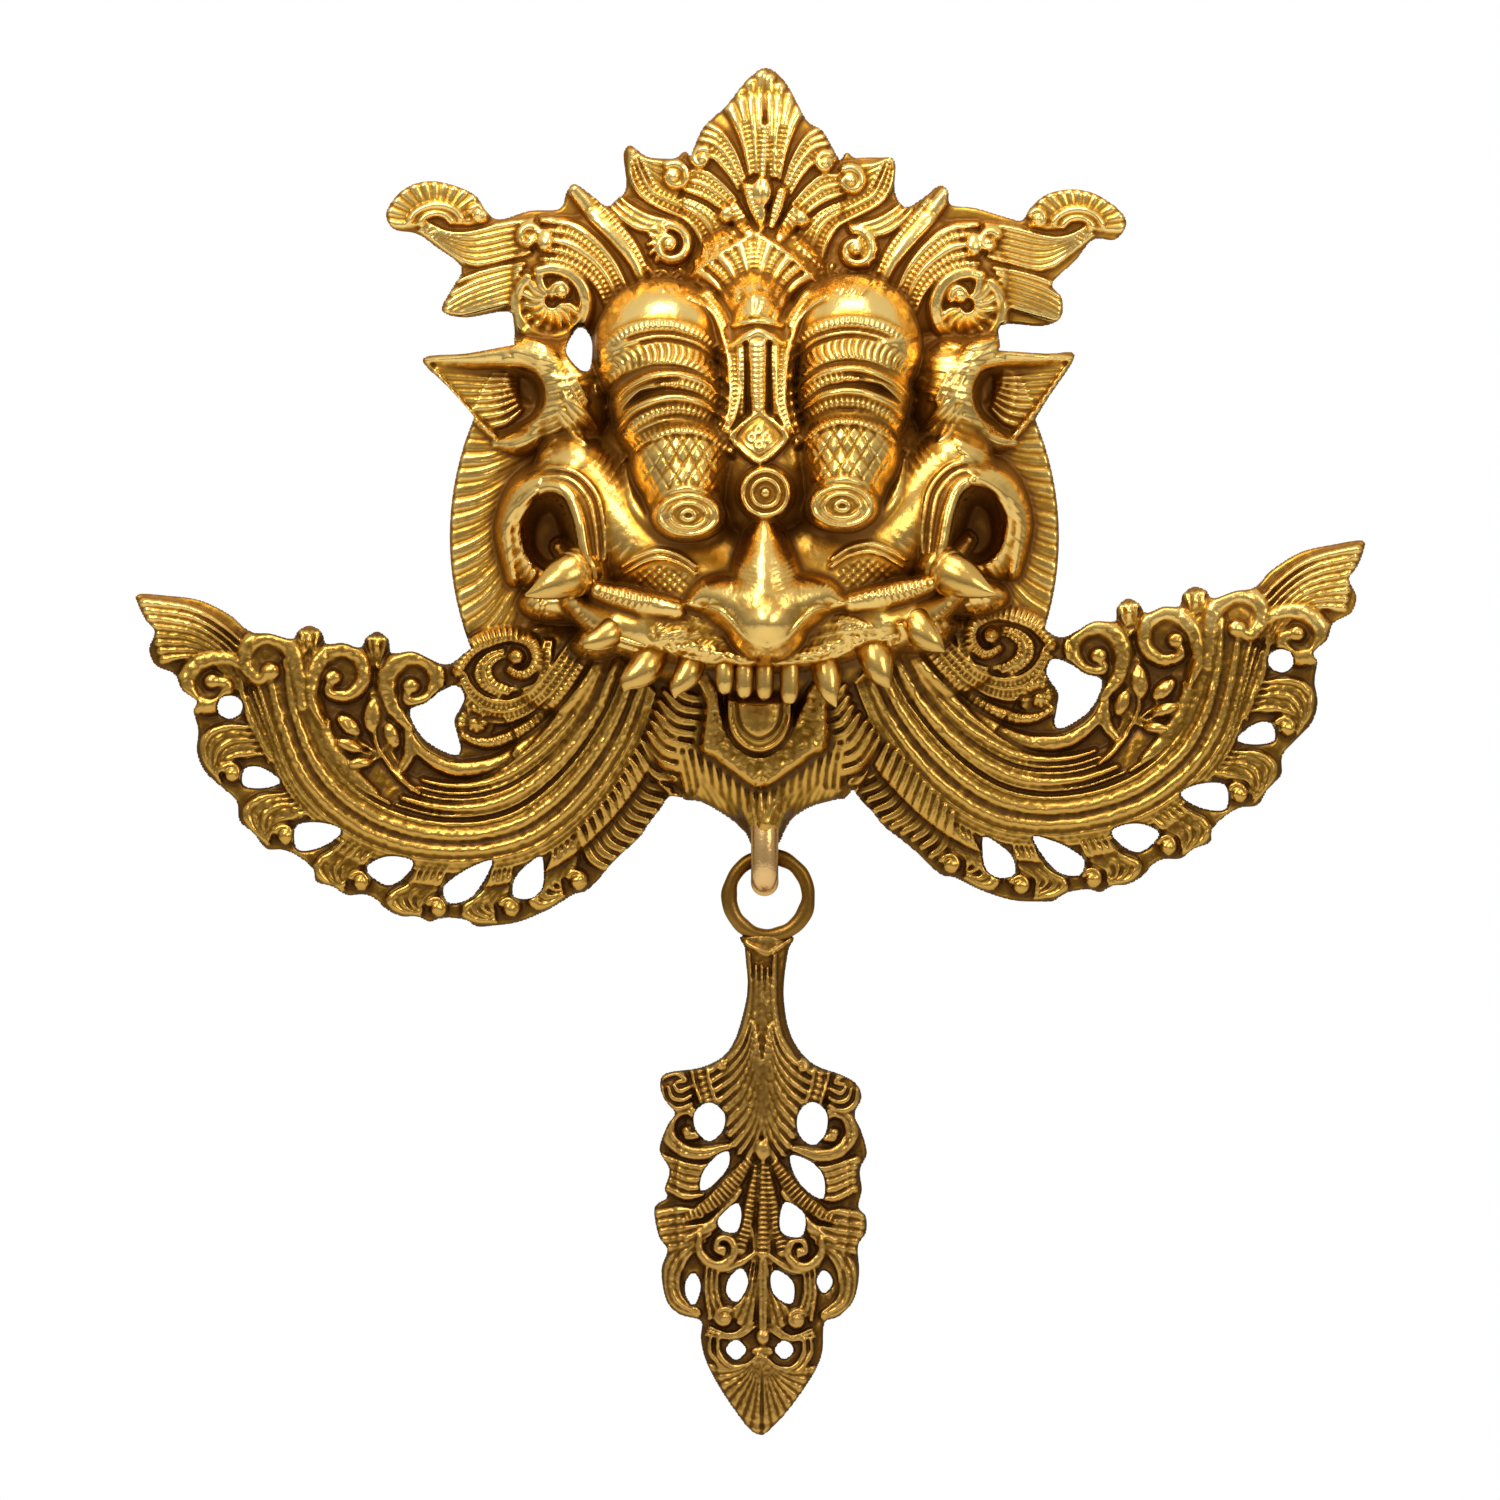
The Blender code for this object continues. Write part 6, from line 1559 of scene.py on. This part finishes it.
def make_ring():
    """The ring that hangs in the hook, its bar a little uneven."""
    ring_z = HOOK_LOW + HOOK_BAR + LINK_GAP - RING_INNER
    turns, sides = 72, 20
    angle = np.arange(turns) / turns * TAU
    around = np.arange(sides) / sides * TAU
    worn = 0.3 * np.sin(3 * angle + 1) + 0.2 * np.sin(7 * angle) + 0.1 * np.sin(13 * angle + 2)
    reach = RING_INNER + RING_BAR - 0.2 + (RING_BAR + 0.1 + 0.6 * worn[:, None]) * np.cos(around)[None, :]
    height = np.broadcast_to(-RING_HEIGHT + RING_BAR * np.sin(around)[None, :], (turns, sides))
    points = np.stack([RING_X + reach * np.sin(angle)[:, None], height,
                       ring_z + reach * np.cos(angle)[:, None]], axis=-1).reshape(-1, 3)
    merged("ring", [(points, ring_faces(turns, sides, True))], PENDANT_BRASS, "pendant", 0.1)


def make_drop():
    """The openwork leaf under the ring."""
    low = RING_HEIGHT - RING_BAR
    art = Sheet(-36, 33, -374, -219, PENDANT_PITCH)
    carve_drop(art, low + DROP_DEPTH)
    art.stroke([(-6.4, -222.6), (-3, -224.6), (0.6, -226), (3.6, -224.4), (7, -222)], (0.5, 0.9, 0.5),
               0.5, 0.1)
    art.form = np.where(art.form > 0, art.form, low + 2.0)
    field = heights(art)
    everywhere = np.ones_like(art.x, bool)
    sheet_piece("drop", art, field, hollows(art, field), everywhere, np.full_like(field, low),
                PENDANT_BRASS, "pendant")


# Studio

def aim(item, target):
    """Turns a light or camera towards a point."""
    item.rotation_euler = (Vector(target) - item.location).to_track_quat("-Z", "Y").to_euler()


def make_studio():
    """White backdrop, pale floor, soft boxes and the straight-on camera."""
    scene = bpy.context.scene
    scene.view_settings.view_transform = "Standard"
    world = bpy.data.worlds.new("studio")
    scene.world = world
    world.use_nodes = True
    nodes, links = world.node_tree.nodes, world.node_tree.links
    background = nodes["Background"]
    place = nodes.new("ShaderNodeTexCoord")
    split = nodes.new("ShaderNodeSeparateXYZ")
    links.new(place.outputs["Generated"], split.inputs[0])
    ramp = nodes.new("ShaderNodeValToRGB")
    ramp.color_ramp.elements[0].position = 0.28
    ramp.color_ramp.elements[0].color = (0.10, 0.085, 0.07, 1)
    ramp.color_ramp.elements[1].position = 0.78
    ramp.color_ramp.elements[1].color = (0.75, 0.74, 0.72, 1)
    shift = nodes.new("ShaderNodeMath")
    shift.operation = "MULTIPLY_ADD"
    shift.inputs[1].default_value = 0.5
    shift.inputs[2].default_value = 0.5
    links.new(split.outputs["Z"], shift.inputs[0])
    links.new(shift.outputs[0], ramp.inputs["Fac"])
    links.new(ramp.outputs["Color"], background.inputs["Color"])
    white = nodes.new("ShaderNodeBackground")
    white.inputs["Color"].default_value = (1, 1, 1, 1)
    white.inputs["Strength"].default_value = 1.0
    rays = nodes.new("ShaderNodeLightPath")
    mix = nodes.new("ShaderNodeMixShader")
    links.new(rays.outputs["Is Camera Ray"], mix.inputs["Fac"])
    links.new(background.outputs[0], mix.inputs[1])
    links.new(white.outputs[0], mix.inputs[2])
    links.new(mix.outputs[0], nodes["World Output"].inputs["Surface"])

    middle = (-0.0048, -0.02, -0.165)
    for name, spot, size, power in (
        ("key", (-0.55, -1.0, 0.75), 0.6, 8.0), ("fill", (0.8, -0.9, 0.3), 0.5, 3.0),
        ("top", (0.0, -0.35, 1.1), 0.7, 7.0), ("low", (0.0, -1.2, -0.9), 0.6, 1.0),
    ):
        light = bpy.data.lights.new(name, "AREA")
        light.size = size
        light.energy = power
        item = bpy.data.objects.new(name, light)
        scene.collection.objects.link(item)
        item.location = spot
        aim(item, middle)

    half = 1.6
    floor = bpy.data.meshes.new("floor")
    level = -0.62
    floor.from_pydata([(-half, -half, level), (half, -half, level), (half, half, level),
                      (-half, half, level)], [], [(0, 1, 2, 3)])
    ground = bpy.data.objects.new("floor", floor)
    scene.collection.objects.link(ground)
    pale = bpy.data.materials.new("floor")
    pale.use_nodes = True
    pale.node_tree.nodes["Principled BSDF"].inputs["Base Color"].default_value = (0.8, 0.8, 0.79, 1)
    pale.node_tree.nodes["Principled BSDF"].inputs["Roughness"].default_value = 0.7
    floor.materials.append(pale)

    data = bpy.data.cameras.new("camera")
    data.sensor_width = 36
    distance, width = 6.0, 0.45
    data.lens = 36 * distance / width
    camera = bpy.data.objects.new("camera", data)
    scene.collection.objects.link(camera)
    camera.location = (middle[0], -distance - 0.012, middle[2])
    camera.rotation_euler = (math.pi / 2, 0, 0)
    scene.camera = camera


make_mask()
make_teeth()
make_hook()
make_ring()
make_drop()
make_studio()
